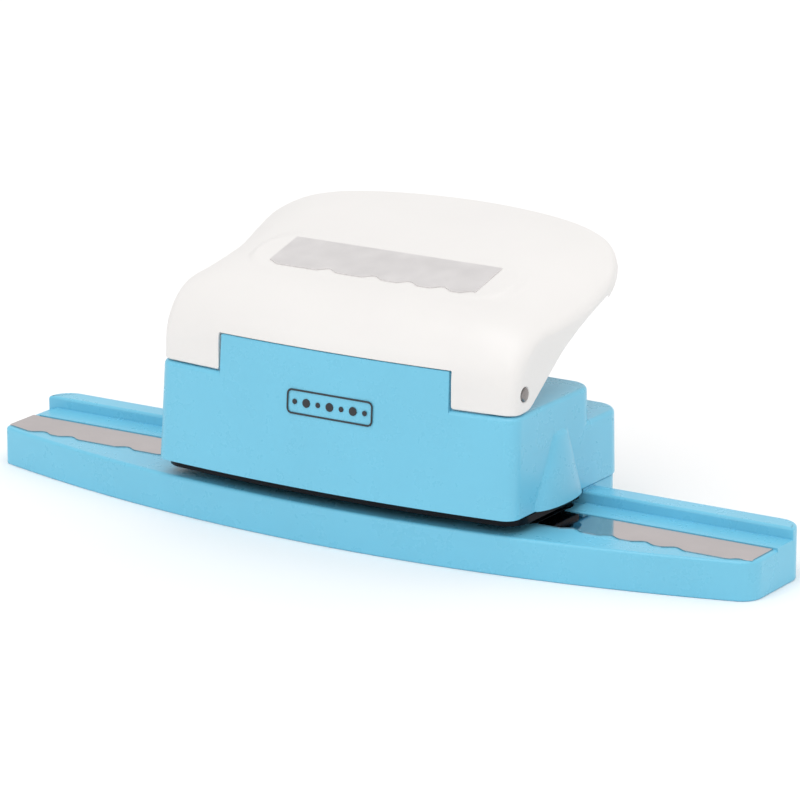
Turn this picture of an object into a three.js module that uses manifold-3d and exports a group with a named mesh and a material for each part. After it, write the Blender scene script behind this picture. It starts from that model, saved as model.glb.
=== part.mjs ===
// Craft punch for paper borders: a long guide base, a punch housing on it, a press lever hinged in front.
// Millimetres, +Z up, X along the guide base, -Y towards the user. The origin is on the table, under the
// middle of the punch's depth: the housing's front and the lever's rear edge stand DEPTH / 2 away from it.
import * as THREE from "three";
import { mergeVertices } from "three/addons/utils/BufferGeometryUtils.js";
import Module from "manifold-3d";

const wasm = await Module();
wasm.setup();

// ---- driving dimensions ----
const DEPTH = 76.4;
const FRONT = -DEPTH / 2;
const REAR = DEPTH / 2;
const WALL = 2.2;
const RIB = 1.6; // thickness of stiffening ribs
const RIB_FOOT = 0.8; // the base's ribs stay this far above the table
const GAP = 0.3; // clearance between pieces that meet
const SKIN_GAP = 0.05; // glue line under labels
const HAIR = 0.04; // step between two walls that would otherwise lie in one plane

const DECK_Z = 10.5; // upper face of the guide base
const BASE = {
  half: 115, front: -36.7, frontBow: 384, frontCorner: 6, frontLeftCorner: 2, rear: 8.1, rearCorner: 6.3,
};
const RAIL = { face: 1.4, top: 14.1 };
const LEDGE = { front: -6.7, inner: 54.8, leftInset: 2.5, top: DECK_Z + 0.55 };
const PEDESTAL_TOP = 14.7;

const BODY = { half: 54.5, front: FRONT, frontBow: 440, frontCorner: 4 };
const BODY_BOTTOM = 15;
const BLOCK = { rear: 7.1, rearCorner: 6, top: 41.5 }; // tall block, under the lever
const STEP = { rear: 21.8, rearCorner: 7, top: 32.2 }; // lower step at the rear
// Front wall that rises between the lever's legs, a little off the middle.
const TAB = { x: 0.85, half: 34.95, rear: FRONT + 3.4, top: 51.6 };
const FRONT_DRAFT = 0.067; // mm of lean per mm of height
const SIDE_DRAFT = 0.02;
const BULGE = { bottomY: -12.8, bottomHalf: 11.5, topY: -10.7, topHalf: 3, top: 33.3, out: 3.2 };

const PIN = { y: -28, z: 46.8, r: 1.8, hole: 1.9, inner: 44.6, outer: 54.1 };
const LUG = { inner: 44.4, outer: 48.2, y: PIN.y + 0.9, r: 3.7 };

const POST = { x: 47.5, y: -12.8, r: 2.2, hole: 2.3 };
const SLOT = { bottom: DECK_Z + 0.3, top: 12.7 }; // the paper's slot, between die plate and stripper plate
const STRIPPER_TOP = PEDESTAL_TOP;
const BLADE = { half: 31.2, front: -18.4, rear: -3.9, bottom: 13.2, top: 26.7 };
const CARRIER = { half: 51, front: -20, rear: -5.6, bottom: 27, top: 33 };
const PUSH_PAD = { x: 20, half: 6, front: -16, rear: -9, top: 46.8 };
const FINGER = { y: -12.4, r: 2, width: 3, bottom: 47.1, topHalf: 9, top: 62 };
const BLADE_SCREWS = [[-8, -12.4], [8, -12.4]];

const LABEL = { half: 31.3, front: -14.9, rear: -1.9, frontZ: 67.7, rearZ: 70.9, thick: 0.25, lobe: 1.7 };
const LABEL_TILT = Math.atan2(LABEL.rearZ - LABEL.frontZ, LABEL.rear - LABEL.front);
const LABEL_DEPTH = Math.hypot(LABEL.rearZ - LABEL.frontZ, LABEL.rear - LABEL.front);
const BOSS = { half: 39.4, r: 10.3, thick: 6 };

// The left strip runs to the base's end, the right one stops behind a low rim.
const STRIP = {
  rear: LEDGE.front, front: -20, thick: 0.25, inner: 53, left: -114.2, right: 113.8, frontRim: 1.5,
};

// The border pattern's front edge: a straight line with soft notches, repeated along the paper.
const PATTERN = { period: 61.9, notches: [-13, 0.9, 11.6, 21.6, 30.5], notchHalf: 3.6, depth: 1.5 };

const MATERIALS = {
  bluePlastic: { color: 0x7cc9e4, roughness: 0.3, metalness: 0 },
  whitePlastic: { color: 0xf4f2f0, roughness: 0.32, metalness: 0 },
  foil: { color: 0xd6d4d4, roughness: 0.15, metalness: 1 },
  blackSteel: { color: 0x17181c, roughness: 0.35, metalness: 0.6 },
  steel: { color: 0x9a9896, roughness: 0.35, metalness: 1 },
  greyPlastic: { color: 0x55585c, roughness: 0.5, metalness: 0 },
  ink: { color: 0x23252a, roughness: 0.6, metalness: 0 },
};

const part = new THREE.Group();

// ---- solids ----
function toSolid(geometry) {
  const bare = geometry.clone();
  bare.deleteAttribute("normal");
  bare.deleteAttribute("uv");
  const merged = mergeVertices(bare, 1e-4);
  const vertProperties = new Float32Array(merged.attributes.position.array);
  const triVerts = new Uint32Array(merged.index.array);
  return new wasm.Manifold(new wasm.Mesh({ numProp: 3, vertProperties, triVerts }));
}

function toGeometry(solid) {
  const mesh = solid.getMesh();
  const geometry = new THREE.BufferGeometry();
  geometry.setAttribute("position", new THREE.BufferAttribute(mesh.vertProperties, 3));
  geometry.setIndex(new THREE.BufferAttribute(mesh.triVerts, 1));
  const flat = geometry.toNonIndexed();
  flat.computeVertexNormals();
  return flat;
}

function join(first, ...others) {
  return others.reduce((sum, solid) => sum.add(solid), first);
}

function cut(first, ...others) {
  return others.reduce((rest, solid) => rest.subtract(solid), first);
}

function add(name, material, solid) {
  const mesh = new THREE.Mesh(toGeometry(solid), new THREE.MeshStandardMaterial(MATERIALS[material]));
  mesh.name = name;
  part.add(mesh);
}

// Upright solid of a plan outline, from z0 to z1.
function prismGeometry(points, z0, z1) {
  const shape = new THREE.Shape(points.map(([x, y]) => new THREE.Vector2(x, y)));
  const geometry = new THREE.ExtrudeGeometry(shape, { depth: z1 - z0, bevelEnabled: false });
  return geometry.translate(0, 0, z0);
}

function prism(points, z0, z1) {
  return toSolid(prismGeometry(points, z0, z1));
}

// Solid of a side outline in Y and Z, from x0 to x1.
function sidePrism(points, x0, x1) {
  const geometry = prismGeometry(points, x0, x1);
  geometry.applyMatrix4(new THREE.Matrix4().makeBasis(
    new THREE.Vector3(0, 1, 0), new THREE.Vector3(0, 0, 1), new THREE.Vector3(1, 0, 0)));
  return toSolid(geometry);
}

function box(x0, x1, y0, y1, z0, z1) {
  const geometry = new THREE.BoxGeometry(x1 - x0, y1 - y0, z1 - z0);
  return toSolid(geometry.translate((x0 + x1) / 2, (y0 + y1) / 2, (z0 + z1) / 2));
}

// Upright turned solid about (x, y); the profile is a list of radius and height.
function turned(profile, x, y, segments = 16) {
  const geometry = new THREE.LatheGeometry(profile.map(([r, z]) => new THREE.Vector2(r, z)), segments);
  return toSolid(geometry.rotateX(Math.PI / 2).translate(x, y, 0));
}

function rod(x, y, r, z0, z1, segments = 16) {
  return turned([[0, z0], [r, z0], [r, z1], [0, z1]], x, y, segments);
}

// Turned solid about an axis along X, through (y, z).
function crossRod(profile, y, z, segments = 16) {
  const geometry = new THREE.LatheGeometry(profile.map(([r, x]) => new THREE.Vector2(r, x)), segments);
  return toSolid(geometry.rotateZ(-Math.PI / 2).translate(0, y, z));
}

function mirrored(points) {
  return points.map(([x, y]) => [-x, y]).reverse();
}

// ---- outlines ----
function arc(cx, cy, r, from, to, steps) {
  const points = [];
  for (let i = 0; i <= steps; i++) {
    const a = from + ((to - from) * i) / steps;
    points.push([cx + r * Math.cos(a), cy + r * Math.sin(a)]);
  }
  return points;
}

// Right half of a plan outline from the middle of the front to the middle of the rear. The front bows
// outwards with a large radius, the rear is straight; the corners are arcs that run into them.
function rightHalf(spec) {
  const { half, front, frontBow, frontCorner, rear, rearCorner, bowSteps = 8, cornerSteps = 5 } = spec;
  const points = [];
  const frontX = half - frontCorner;
  const frontReach = Math.sqrt((frontBow - frontCorner) ** 2 - frontX ** 2);
  const frontAngle = Math.atan2(-frontReach, frontX);
  points.push(...arc(0, front + frontBow, frontBow, -Math.PI / 2, frontAngle, bowSteps));
  const frontCentreY = front + frontBow - frontReach;
  points.push(...arc(frontX, frontCentreY, frontCorner, frontAngle, 0, cornerSteps).slice(1));
  const rearX = half - rearCorner;
  points.push(...arc(rearX, rear - rearCorner, rearCorner, 0, Math.PI / 2, cornerSteps));
  return points;
}

function planOutline(spec) {
  const left = rightHalf({ ...spec, frontCorner: spec.frontLeftCorner ?? spec.frontCorner });
  return [...rightHalf(spec), ...mirrored(left).filter(([x]) => x < -1e-6)];
}

function inset(spec, wall) {
  return {
    ...spec,
    half: spec.half - wall,
    front: spec.front + wall,
    frontBow: spec.frontBow - wall,
    frontCorner: Math.max(spec.frontCorner - wall, 1),
    frontLeftCorner: Math.max((spec.frontLeftCorner ?? spec.frontCorner) - wall, 1),
    rear: spec.rear - wall,
    rearCorner: Math.max(spec.rearCorner - wall, 1),
  };
}

// How far the pattern's edge stands back at x.
function notchDepth(x) {
  const { period, notches, notchHalf, depth } = PATTERN;
  const depths = notches.map((centre) => {
    const away = x - centre - period * Math.round((x - centre) / period);
    return Math.abs(away) < notchHalf ? depth * 0.5 * (1 + Math.cos((Math.PI * away) / notchHalf)) : 0;
  });
  return Math.max(...depths);
}

// The pattern's edge from x0 to x1, its lobes standing at y.
function notchedEdge(x0, x1, y, step = 1.2) {
  const count = Math.max(2, Math.round((x1 - x0) / step));
  const points = [];
  for (let i = 0; i <= count; i++) {
    const x = x0 + ((x1 - x0) * i) / count;
    points.push([x, y + notchDepth(x)]);
  }
  return points;
}

// A smooth curve through a few (position, value) pairs, held level beyond its ends.
function smooth(pairs) {
  const slope = (i) => {
    const a = pairs[Math.max(i - 1, 0)];
    const b = pairs[Math.min(i + 1, pairs.length - 1)];
    return (b[1] - a[1]) / (b[0] - a[0]);
  };
  return (t) => {
    if (t <= pairs[0][0]) return pairs[0][1];
    if (t >= pairs.at(-1)[0]) return pairs.at(-1)[1];
    const i = pairs.findIndex(([p]) => p > t) - 1;
    const width = pairs[i + 1][0] - pairs[i][0];
    const s = (t - pairs[i][0]) / width;
    const rise = pairs[i + 1][1] - pairs[i][1];
    const ease = s * s * (3 - 2 * s);
    const bend = width * (slope(i) * s * (1 - s) ** 2 - slope(i + 1) * s * s * (1 - s));
    return pairs[i][1] + rise * ease + bend;
  };
}

// ---- guide base ----
const HOUSING_SCREWS = [[-40, 14.5], [0, 14.5], [40, 14.5]];
const DIE_SCREWS = [[-49.6, -19.5], [49.6, -19.5], [-49.6, -2.5], [49.6, -2.5]];
const STRIPPER_SCREWS = [[-37.5, -30], [37.5, -30], [-37.5, -1.5], [37.5, -1.5]];

// The die plate lies in a pocket of the deck; the stripper plate hangs under the housing.
const DIE = {
  half: 52.5, front: -23, frontBow: 440, frontCorner: 3, rear: 1, rearCorner: 3, cornerSteps: 4,
};
const DIE_BOTTOM = DECK_Z - 1.2;
const STRIPPER = { ...DIE, half: 54.3, front: -35.1, frontCorner: 6 };

const PEDESTAL = { half: 54, front: RAIL.face, rear: STEP.rear, rearCorner: STEP.rearCorner };

function pedestalOutline(shrink) {
  const { half, front, rear, rearCorner } = PEDESTAL;
  const r = rearCorner - shrink;
  const corner = arc(half - rearCorner, rear - rearCorner, r, 0, Math.PI / 2, 5);
  const right = [[half - shrink, front + shrink], ...corner];
  return [...right, ...mirrored(right)];
}

function guideBase() {
  const plan = planOutline({ ...BASE, bowSteps: 16 });
  const deck = prism(plan, 0, DECK_Z);
  const above = prism(plan, DECK_Z - 1, RAIL.top);
  const rail = above.intersect(box(-BASE.half, BASE.half, RAIL.face, BASE.rear + 1, 0, RAIL.top));
  const ledgeEnd = LEDGE.leftInset - BASE.half;
  const fullLedge = above.intersect(box(ledgeEnd, BASE.half, LEDGE.front, RAIL.face + 1, 0, LEDGE.top));
  const ledge = cut(fullLedge, box(-LEDGE.inner, LEDGE.inner, -60, RAIL.face, DECK_Z, 20));
  const pedestal = prism(pedestalOutline(0), 0, PEDESTAL_TOP);
  const body = join(deck, rail, ledge, pedestal);

  const hollowTop = DECK_Z - WALL;
  const hollow = join(
    prism(planOutline({ ...inset(BASE, WALL), bowSteps: 16 }), -1, hollowTop),
    prism(pedestalOutline(WALL), -1, PEDESTAL_TOP - WALL - 1),
  );
  const ribs = [-88, -62, -46, 46, 62, 88].map((x) => box(x - RIB / 2, x + RIB / 2, -60, 60, RIB_FOOT, 20));
  const screwBosses = HOUSING_SCREWS.map(([x, y]) => rod(x, y, 4.6, RIB_FOOT, 20, 20));
  const webs = HOUSING_SCREWS.map(([x]) => box(x - RIB / 2, x + RIB / 2, 8, 30, RIB_FOOT, 20));
  const pockets = cut(hollow, ...ribs, ...screwBosses, ...webs);
  const chipHole = box(-BLADE.half - 1, BLADE.half + 1, BLADE.front - 2.2, BLADE.rear + 1, -1, 20);
  const diePocket = prism(planOutline(inset(DIE, -0.2)), DIE_BOTTOM - 0.2, DECK_Z + 1);
  const wellProfile = [[0, -1], [3.6, -1], [3.6, 3.4], [1.8, 3.4], [1.8, 20], [0, 20]];
  const holes = [
    ...HOUSING_SCREWS.map(([x, y]) => turned(wellProfile, x, y)),
    ...DIE_SCREWS.map(([x, y]) => rod(x, y, 1.6, 5, 20, 12)),
  ];
  return cut(body, pockets, chipHole, diePocket, ...holes);
}

// A strip of foil on the deck, from beside the die plate to the base's end.
function patternStrip(side) {
  const [left, right] = side > 0 ? [STRIP.inner, STRIP.right] : [STRIP.left, -STRIP.inner];
  const bowCentre = BASE.front + BASE.frontBow;
  const front = notchedEdge(left, right, STRIP.front).map(([x, y]) => {
    const baseFront = bowCentre - Math.sqrt(BASE.frontBow ** 2 - x ** 2);
    return [x, Math.max(y, baseFront + STRIP.frontRim)];
  });
  const rear = STRIP.rear - GAP;
  const points = [...front, [right, rear], [left, rear]];
  return prism(points, DECK_Z + SKIN_GAP, DECK_Z + SKIN_GAP + STRIP.thick);
}

// ---- die set ----
function bladeOutline(grow) {
  const half = BLADE.half + grow;
  const front = notchedEdge(-half, half, BLADE.front - grow);
  return [...front, [half, BLADE.rear + grow], [-half, BLADE.rear + grow]];
}

function diePlate() {
  const plate = prism(planOutline(DIE), DIE_BOTTOM, SLOT.bottom);
  const opening = prism(bladeOutline(0.1), 0, 20);
  const screwHoles = DIE_SCREWS.map(([x, y]) => rod(x, y, 1.4, 0, SLOT.bottom - 0.4, 12));
  return cut(plate, opening, ...screwHoles);
}

function stripperPlate() {
  const plate = prism(planOutline(STRIPPER), SLOT.top, STRIPPER_TOP);
  const opening = prism(bladeOutline(0.15), 0, 20);
  const posts = [-POST.x, POST.x].map((x) => rod(x, POST.y, POST.hole, 0, 20));
  const below = SLOT.top - 1;
  const neck = SLOT.top + 1.3;
  const sinkProfile = [[0, below], [2.7, below], [2.7, SLOT.top + 0.1], [1.5, neck], [1.5, 20], [0, 20]];
  const sinks = STRIPPER_SCREWS.map(([x, y]) => turned(sinkProfile, x, y));
  return cut(plate, opening, ...posts, ...sinks);
}

// ---- housing ----
// Moulding draft: every wall leans in as it rises, the front the most.
function drafted(geometry) {
  const position = geometry.attributes.position;
  for (let i = 0; i < position.count; i++) {
    const rise = position.getZ(i) - BODY_BOTTOM;
    const x = position.getX(i);
    const y = position.getY(i);
    const atFront = THREE.MathUtils.clamp((-y - 25) / 5, 0, 1);
    position.setX(i, x - (x / BODY.half) * SIDE_DRAFT * rise);
    position.setY(i, y + atFront * FRONT_DRAFT * rise);
  }
  return toSolid(geometry);
}

// Half cone that makes room for a return spring in the side wall.
function bulge(side, shrink) {
  const rings = 6;
  const chord = (t) => THREE.MathUtils.lerp(BULGE.bottomHalf, BULGE.topHalf, t) - shrink;
  const geometry = new THREE.CylinderGeometry(1, 1, 1, 24, rings, false);
  const position = geometry.attributes.position;
  for (let i = 0; i < position.count; i++) {
    const t = position.getY(i) + 0.5;
    const reach = THREE.MathUtils.lerp(BULGE.out, 0.4, t) + 6 - shrink;
    const x = side * (BODY.half - 6 - SIDE_DRAFT * t * (BULGE.top - BODY_BOTTOM));
    const y = THREE.MathUtils.lerp(BULGE.bottomY, BULGE.topY, t);
    const bottom = BODY_BOTTOM - (shrink > 0 ? 1 : 0);
    const z = THREE.MathUtils.lerp(bottom, BULGE.top - shrink, t);
    position.setXYZ(i, x + position.getX(i) * reach, y - position.getZ(i) * chord(t) * 1.12, z);
  }
  return toSolid(geometry);
}

function housing() {
  const low = { ...BODY, ...STEP };
  const tall = { ...BODY, ...BLOCK, half: BODY.half - HAIR, front: BODY.front + HAIR };
  const tabAngle = (x) => -Math.PI / 2 + Math.asin(x / BODY.frontBow);
  const tabLeft = TAB.x - TAB.half;
  const tabRight = TAB.x + TAB.half;
  const bowCentre = tall.front + HAIR + BODY.frontBow;
  const tabFront = arc(0, bowCentre, BODY.frontBow, tabAngle(tabLeft), tabAngle(tabRight), 12);
  const tabRear = [[tabRight, TAB.rear], [tabLeft, TAB.rear]];
  const shell = join(
    drafted(prismGeometry(planOutline(low), BODY_BOTTOM, STEP.top)),
    drafted(prismGeometry(planOutline(tall), BODY_BOTTOM + 1, BLOCK.top)),
    drafted(prismGeometry([...tabFront, ...tabRear], BLOCK.top - 4, TAB.top)),
    bulge(1, 0),
    bulge(-1, 0),
  );
  const hollow = join(
    drafted(prismGeometry(planOutline(inset(tall, WALL)), BODY_BOTTOM - 1, BLOCK.top - WALL)),
    drafted(prismGeometry(planOutline(inset(low, WALL)), BODY_BOTTOM - 1, STEP.top - WALL)),
    bulge(1, WALL),
    bulge(-1, WALL),
  );
  const lugs = [1, -1].map((side) => {
    const base = BLOCK.top - WALL - 1;
    const profile = [
      [LUG.y - LUG.r, base], [LUG.y + LUG.r, base],
      ...arc(LUG.y, PIN.z, LUG.r, 0, Math.PI, 8),
    ];
    return side > 0 ? sidePrism(profile, LUG.inner, LUG.outer) : sidePrism(profile, -LUG.outer, -LUG.inner);
  });
  const bosses = [
    ...HOUSING_SCREWS.map(([x, y]) => rod(x, y, 4, BODY_BOTTOM, STEP.top - 1)),
    ...STRIPPER_SCREWS.map(([x, y]) => rod(x, y, 3.4, BODY_BOTTOM, BLOCK.top - 1)),
    ...[-POST.x, POST.x].map((x) => rod(x, POST.y, 3.4, CARRIER.top + 2, BLOCK.top - 1)),
  ];
  const solidShell = join(cut(shell, hollow), ...lugs, ...bosses);
  const pinHole = crossRod([[0, -60], [PIN.hole, -60], [PIN.hole, 60], [0, 60]], PIN.y, PIN.z, 20);
  const padHoles = [-PUSH_PAD.x, PUSH_PAD.x].map((x) => box(
    x - PUSH_PAD.half - 0.5, x + PUSH_PAD.half + 0.5, PUSH_PAD.front - 0.5, PUSH_PAD.rear + 0.5, 30, 60));
  const screwHoles = [
    ...HOUSING_SCREWS.map(([x, y]) => rod(x, y, 1.6, 0, 28, 12)),
    ...STRIPPER_SCREWS.map(([x, y]) => rod(x, y, 1.4, 0, 24, 12)),
    ...[-POST.x, POST.x].map((x) => rod(x, POST.y, POST.hole, 0, 39, 16)),
  ];
  return cut(solidShell, pinHole, ...padHoles, ...screwHoles);
}

// Printed badge on the front wall: a plain rounded tag, leaning with the wall.
const BADGE = { halfWidth: 13, halfHeight: 3.4, corner: 1.5, x: 1, z: 37.6, thick: 0.3 };

function badge() {
  const { halfWidth, halfHeight, corner: r, x, z, thick } = BADGE;
  const outline = [
    ...arc(halfWidth - r, halfHeight - r, r, 0, Math.PI / 2, 4),
    ...arc(-halfWidth + r, halfHeight - r, r, Math.PI / 2, Math.PI, 4),
    ...arc(-halfWidth + r, -halfHeight + r, r, Math.PI, 1.5 * Math.PI, 4),
    ...arc(halfWidth - r, -halfHeight + r, r, 1.5 * Math.PI, 2 * Math.PI, 4),
  ];
  const wallY = FRONT + FRONT_DRAFT * (z - BODY_BOTTOM);
  const geometry = prismGeometry(outline, SKIN_GAP, SKIN_GAP + thick);
  geometry.rotateX(Math.PI / 2 - Math.atan(FRONT_DRAFT));
  return toSolid(geometry.translate(x, wallY, z));
}

// ---- punch ----
function carrier() {
  const { half, front, rear, bottom, top } = CARRIER;
  const beam = box(-half, half, front, rear, bottom, top);
  const pads = [-PUSH_PAD.x, PUSH_PAD.x].map((x) => box(
    x - PUSH_PAD.half, x + PUSH_PAD.half, PUSH_PAD.front, PUSH_PAD.rear, top - 1, PUSH_PAD.top));
  const guides = [-POST.x, POST.x].map((x) => rod(x, POST.y, POST.hole, 0, 60));
  const sinkProfile = [[0, 20], [1.6, 20], [1.6, 30.4], [3.3, 30.4], [3.3, 60], [0, 60]];
  const sinks = BLADE_SCREWS.map(([x, y]) => turned(sinkProfile, x, y));
  return cut(join(beam, ...pads), ...guides, ...sinks);
}

function blade() {
  const block = prism(bladeOutline(0), BLADE.bottom, BLADE.top);
  const threads = BLADE_SCREWS.map(([x, y]) => rod(x, y, 1.5, 20, 60, 12));
  return cut(block, ...threads);
}

const DIE_SCREW = { headR: 2.6, headHeight: 1.6, shankR: 1.2 };
const HOUSING_SCREW = { headR: 3.1, headHeight: 2.1, shankR: 1.35 };

// Pan-head screw standing on its head at (x, y).
function screw(x, y, { bottom, headR, headHeight, shankR, top }) {
  const neck = bottom + headHeight;
  return turned([[0, bottom], [headR, bottom], [headR, neck], [shankR, neck],
    [shankR, top - 1], [shankR * 0.5, top], [0, top]], x, y, 12);
}

// Countersunk screw, its flat head facing down.
function sunkScrew(x, y, z0, headR, shankR, z1) {
  const neck = z0 + headR - shankR;
  const tip = [[shankR, z1 - 1], [shankR * 0.5, z1], [0, z1]];
  return turned([[0, z0], [headR, z0], [shankR, neck], ...tip], x, y, 12);
}

function bladeScrew(x, y) {
  return turned([[0, 21], [1.3, 21], [1.3, 30.6], [2.9, 30.6], [2.9, 32.4], [0, 32.4]], x, y, 12);
}

function returnSpring(x) {
  const turns = 6;
  const wire = 0.55;
  const radius = 3.9;
  const low = STRIPPER_TOP + GAP + wire;
  const high = CARRIER.bottom - GAP - wire;
  class Helix extends THREE.Curve {
    getPoint(t, target = new THREE.Vector3()) {
      const a = 2 * Math.PI * turns * t;
      return target.set(radius * Math.cos(a), radius * Math.sin(a), THREE.MathUtils.lerp(low, high, t));
    }
  }
  const hexagon = arc(0, 0, wire, 0, 2 * Math.PI, 6).slice(0, 6);
  const section = new THREE.Shape(hexagon.map(([u, v]) => new THREE.Vector2(u, v)));
  const path = { steps: turns * 12, extrudePath: new Helix(), bevelEnabled: false };
  const geometry = new THREE.ExtrudeGeometry(section, path);
  return toSolid(geometry.translate(x, POST.y, 0));
}

// ---- lever ----
const LEVER = { front: -36.15, frontBow: 440, frontCorner: 4, rear: REAR, rearBow: 107, rearCorner: 18 };
const LEVER_WALL = 2.4;
const LEVER_ROOM_BOTTOM = 30; // the room inside is cut from here up
const TAB_ROOM = 6.4; // depth of the notch for the housing's tab
const LEVER_HALF = smooth([[-18, 53.8], [10, 54.4]]);
const crownPower = smooth([[10, 7], [26, 7.5]]);
const crownHeight = smooth([
  [-36, 63.6], [-26, 65.2], [-16, 66.9], [-2, 70.2], [12, 73.9], [24, 75.8], [REAR, 77.2],
]);
const crownDrop = smooth([
  [-36, 3], [-18, 6.1], [-6, 8], [2, 9], [8, 8.6], [14.8, 7.2], [20, 6], [REAR, 6],
]);
const EDGE = { front: 15, side: 1.4, rear: 3.1 };
const TIGHTEST = 0.6; // smallest rounding of the room inside
const lowerEdge = smooth([
  [-29, 41.9], [-25.4, 42.4], [-21.7, 44.8], [-11.9, 52], [-8.5, 54.3], [0.1, 58.7], [10.2, 62.8],
  [15.8, 64.8], [23, 69], [30, 71.6], [REAR, 73.3],
]);

// Front and rear of the lever's plan at each x, from its outline.
function leverEdges(wall) {
  const spec = inset({ ...LEVER, half: LEVER_HALF(REAR) }, wall);
  const frontX = spec.half - spec.frontCorner;
  const frontReach = Math.sqrt((spec.frontBow - spec.frontCorner) ** 2 - frontX ** 2);
  const frontTangent = (frontX * spec.frontBow) / (spec.frontBow - spec.frontCorner);
  const rearX = spec.half - spec.rearCorner;
  const rearReach = Math.sqrt((spec.rearBow - spec.rearCorner) ** 2 - rearX ** 2);
  const rearTangent = (rearX * spec.rearBow) / (spec.rearBow - spec.rearCorner);
  const chord = (r, x) => Math.sqrt(Math.max(r * r - x * x, 0));
  return {
    half: spec.half,
    front: (x) => {
      const bowCentre = spec.front + spec.frontBow;
      if (Math.abs(x) < frontTangent) return bowCentre - chord(spec.frontBow, x);
      return bowCentre - frontReach - chord(spec.frontCorner, Math.abs(x) - frontX);
    },
    rear: (x) => {
      const bowCentre = spec.rear - spec.rearBow;
      if (Math.abs(x) < rearTangent) return bowCentre + chord(spec.rearBow, x);
      return bowCentre + rearReach + chord(spec.rearCorner, Math.abs(x) - rearX);
    },
  };
}

// How far a rounded edge of radius r has fallen at distance d from the edge.
function roundOff(d, r) {
  const t = THREE.MathUtils.clamp(1 - d / r, 0, 1);
  return r * (1 - Math.sqrt(1 - t * t));
}

// The lever's outer block, or with a wall the room inside it. Its top is crowned, its edges are rounded.
function leverBlock(wall, bottomAt, columns, rows) {
  const edges = leverEdges(wall);
  const geometry = new THREE.BoxGeometry(1, 1, 1, columns, rows, 1);
  const position = geometry.attributes.position;
  for (let i = 0; i < position.count; i++) {
    const across = Math.sin(position.getX(i) * Math.PI);
    const along = 0.5 + 0.5 * Math.sin(position.getY(i) * Math.PI);
    const planX = across * edges.half;
    const y = THREE.MathUtils.lerp(edges.front(planX), edges.rear(planX), along);
    const half = LEVER_HALF(y) - wall;
    const x = across * half;
    const drops = [
      roundOff(y - edges.front(planX), EDGE.front - wall),
      roundOff(half - Math.abs(x), Math.max(EDGE.side - wall, TIGHTEST)),
      roundOff(edges.rear(planX) - y, Math.max(EDGE.rear - wall, TIGHTEST)),
    ];
    const rounding = Math.cbrt(drops.reduce((sum, drop) => sum + drop ** 3, 0));
    const crown = crownDrop(y) * Math.abs(x / (half + wall)) ** crownPower(y);
    const top = crownHeight(y) - wall - crown - rounding;
    position.setXYZ(i, x, y, position.getZ(i) > 0 ? top : bottomAt(y));
  }
  return toSolid(geometry);
}

// The label's seat: a long shape with round ends, tilted like the label, between two heights from its face.
function seatPrism(z0, z1) {
  const straight = BOSS.half - BOSS.r;
  const outline = [
    ...arc(straight, 0, BOSS.r, -Math.PI / 2, Math.PI / 2, 10),
    ...arc(-straight, 0, BOSS.r, Math.PI / 2, 1.5 * Math.PI, 10),
  ];
  return placeOnTop(prismGeometry(outline, z0, z1));
}

// Turns a flat piece to the label's tilt and sets it with z = 0 at the label's upper face.
function placeOnTop(geometry) {
  geometry.rotateX(LABEL_TILT);
  return toSolid(geometry.translate(0, (LABEL.front + LABEL.rear) / 2, (LABEL.frontZ + LABEL.rearZ) / 2));
}

function label() {
  const depth = LABEL_DEPTH / 2;
  const front = notchedEdge(-LABEL.half, LABEL.half, -depth - LABEL.lobe);
  const outline = [...front, [LABEL.half, depth], [-LABEL.half, depth]];
  return placeOnTop(prismGeometry(outline, -LABEL.thick, 0));
}

function lever() {
  const seatZ = -LABEL.thick - SKIN_GAP;
  const raised = join(leverBlock(0, lowerEdge, 26, 26), seatPrism(-BOSS.thick, seatZ));
  const outer = cut(raised, seatPrism(seatZ, 5));
  const fromBelow = () => LEVER_ROOM_BOTTOM;
  const room = leverBlock(LEVER_WALL, fromBelow, 20, 20);
  const shell = cut(outer, room);
  const underTop = leverBlock(0.6, fromBelow, 14, 14);
  const fingerProfile = [
    ...arc(FINGER.y, FINGER.bottom + FINGER.r, FINGER.r, Math.PI, 2 * Math.PI, 6),
    [FINGER.y + FINGER.topHalf, FINGER.top], [FINGER.y + FINGER.topHalf, FINGER.top + 13],
    [FINGER.y - FINGER.topHalf, FINGER.top + 13], [FINGER.y - FINGER.topHalf, FINGER.top],
  ];
  const fingers = [-PUSH_PAD.x, PUSH_PAD.x].map((x) => (
    sidePrism(fingerProfile, x - FINGER.width / 2, x + FINGER.width / 2).intersect(underTop)));
  const ribProfile = [[-20, 60], [6, 64], [30, 71.4], [37, 75], [30, 80], [-20, 72]];
  const ribs = [-36, 0, 36].map((x) => (
    sidePrism(ribProfile, x - RIB / 2, x + RIB / 2).intersect(underTop)));
  const rightPinBoss = crossRod([[0, 48.6], [4, 48.6], [4, 52.4], [0, 52.4]], PIN.y, PIN.z);
  const pinBosses = [rightPinBoss, rightPinBoss.mirror([1, 0, 0])];
  const joined = join(shell, ...fingers, ...ribs, ...pinBosses);
  const tabHalf = TAB.half + GAP;
  const tabRear = FRONT + TAB_ROOM;
  const tabRoom = box(TAB.x - tabHalf, TAB.x + tabHalf, -60, tabRear, LEVER_ROOM_BOTTOM, TAB.top + GAP);
  const pinHole = crossRod([[0, -60], [PIN.hole, -60], [PIN.hole, 60], [0, 60]], PIN.y, PIN.z, 20);
  return cut(joined, tabRoom, pinHole);
}

function hingePin(side) {
  const { inner, outer, r, y, z } = PIN;
  const dome = 0.35;
  const profile = [[0, inner], [r, inner], [r, outer - dome], [r * 0.8, outer - dome * 0.3], [0, outer]];
  const pin = crossRod(profile, y, z, 20);
  return side > 0 ? pin : pin.mirror([1, 0, 0]);
}

// ---- assembly ----
const SIDES = [["left", -1], ["right", 1]];

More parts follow.
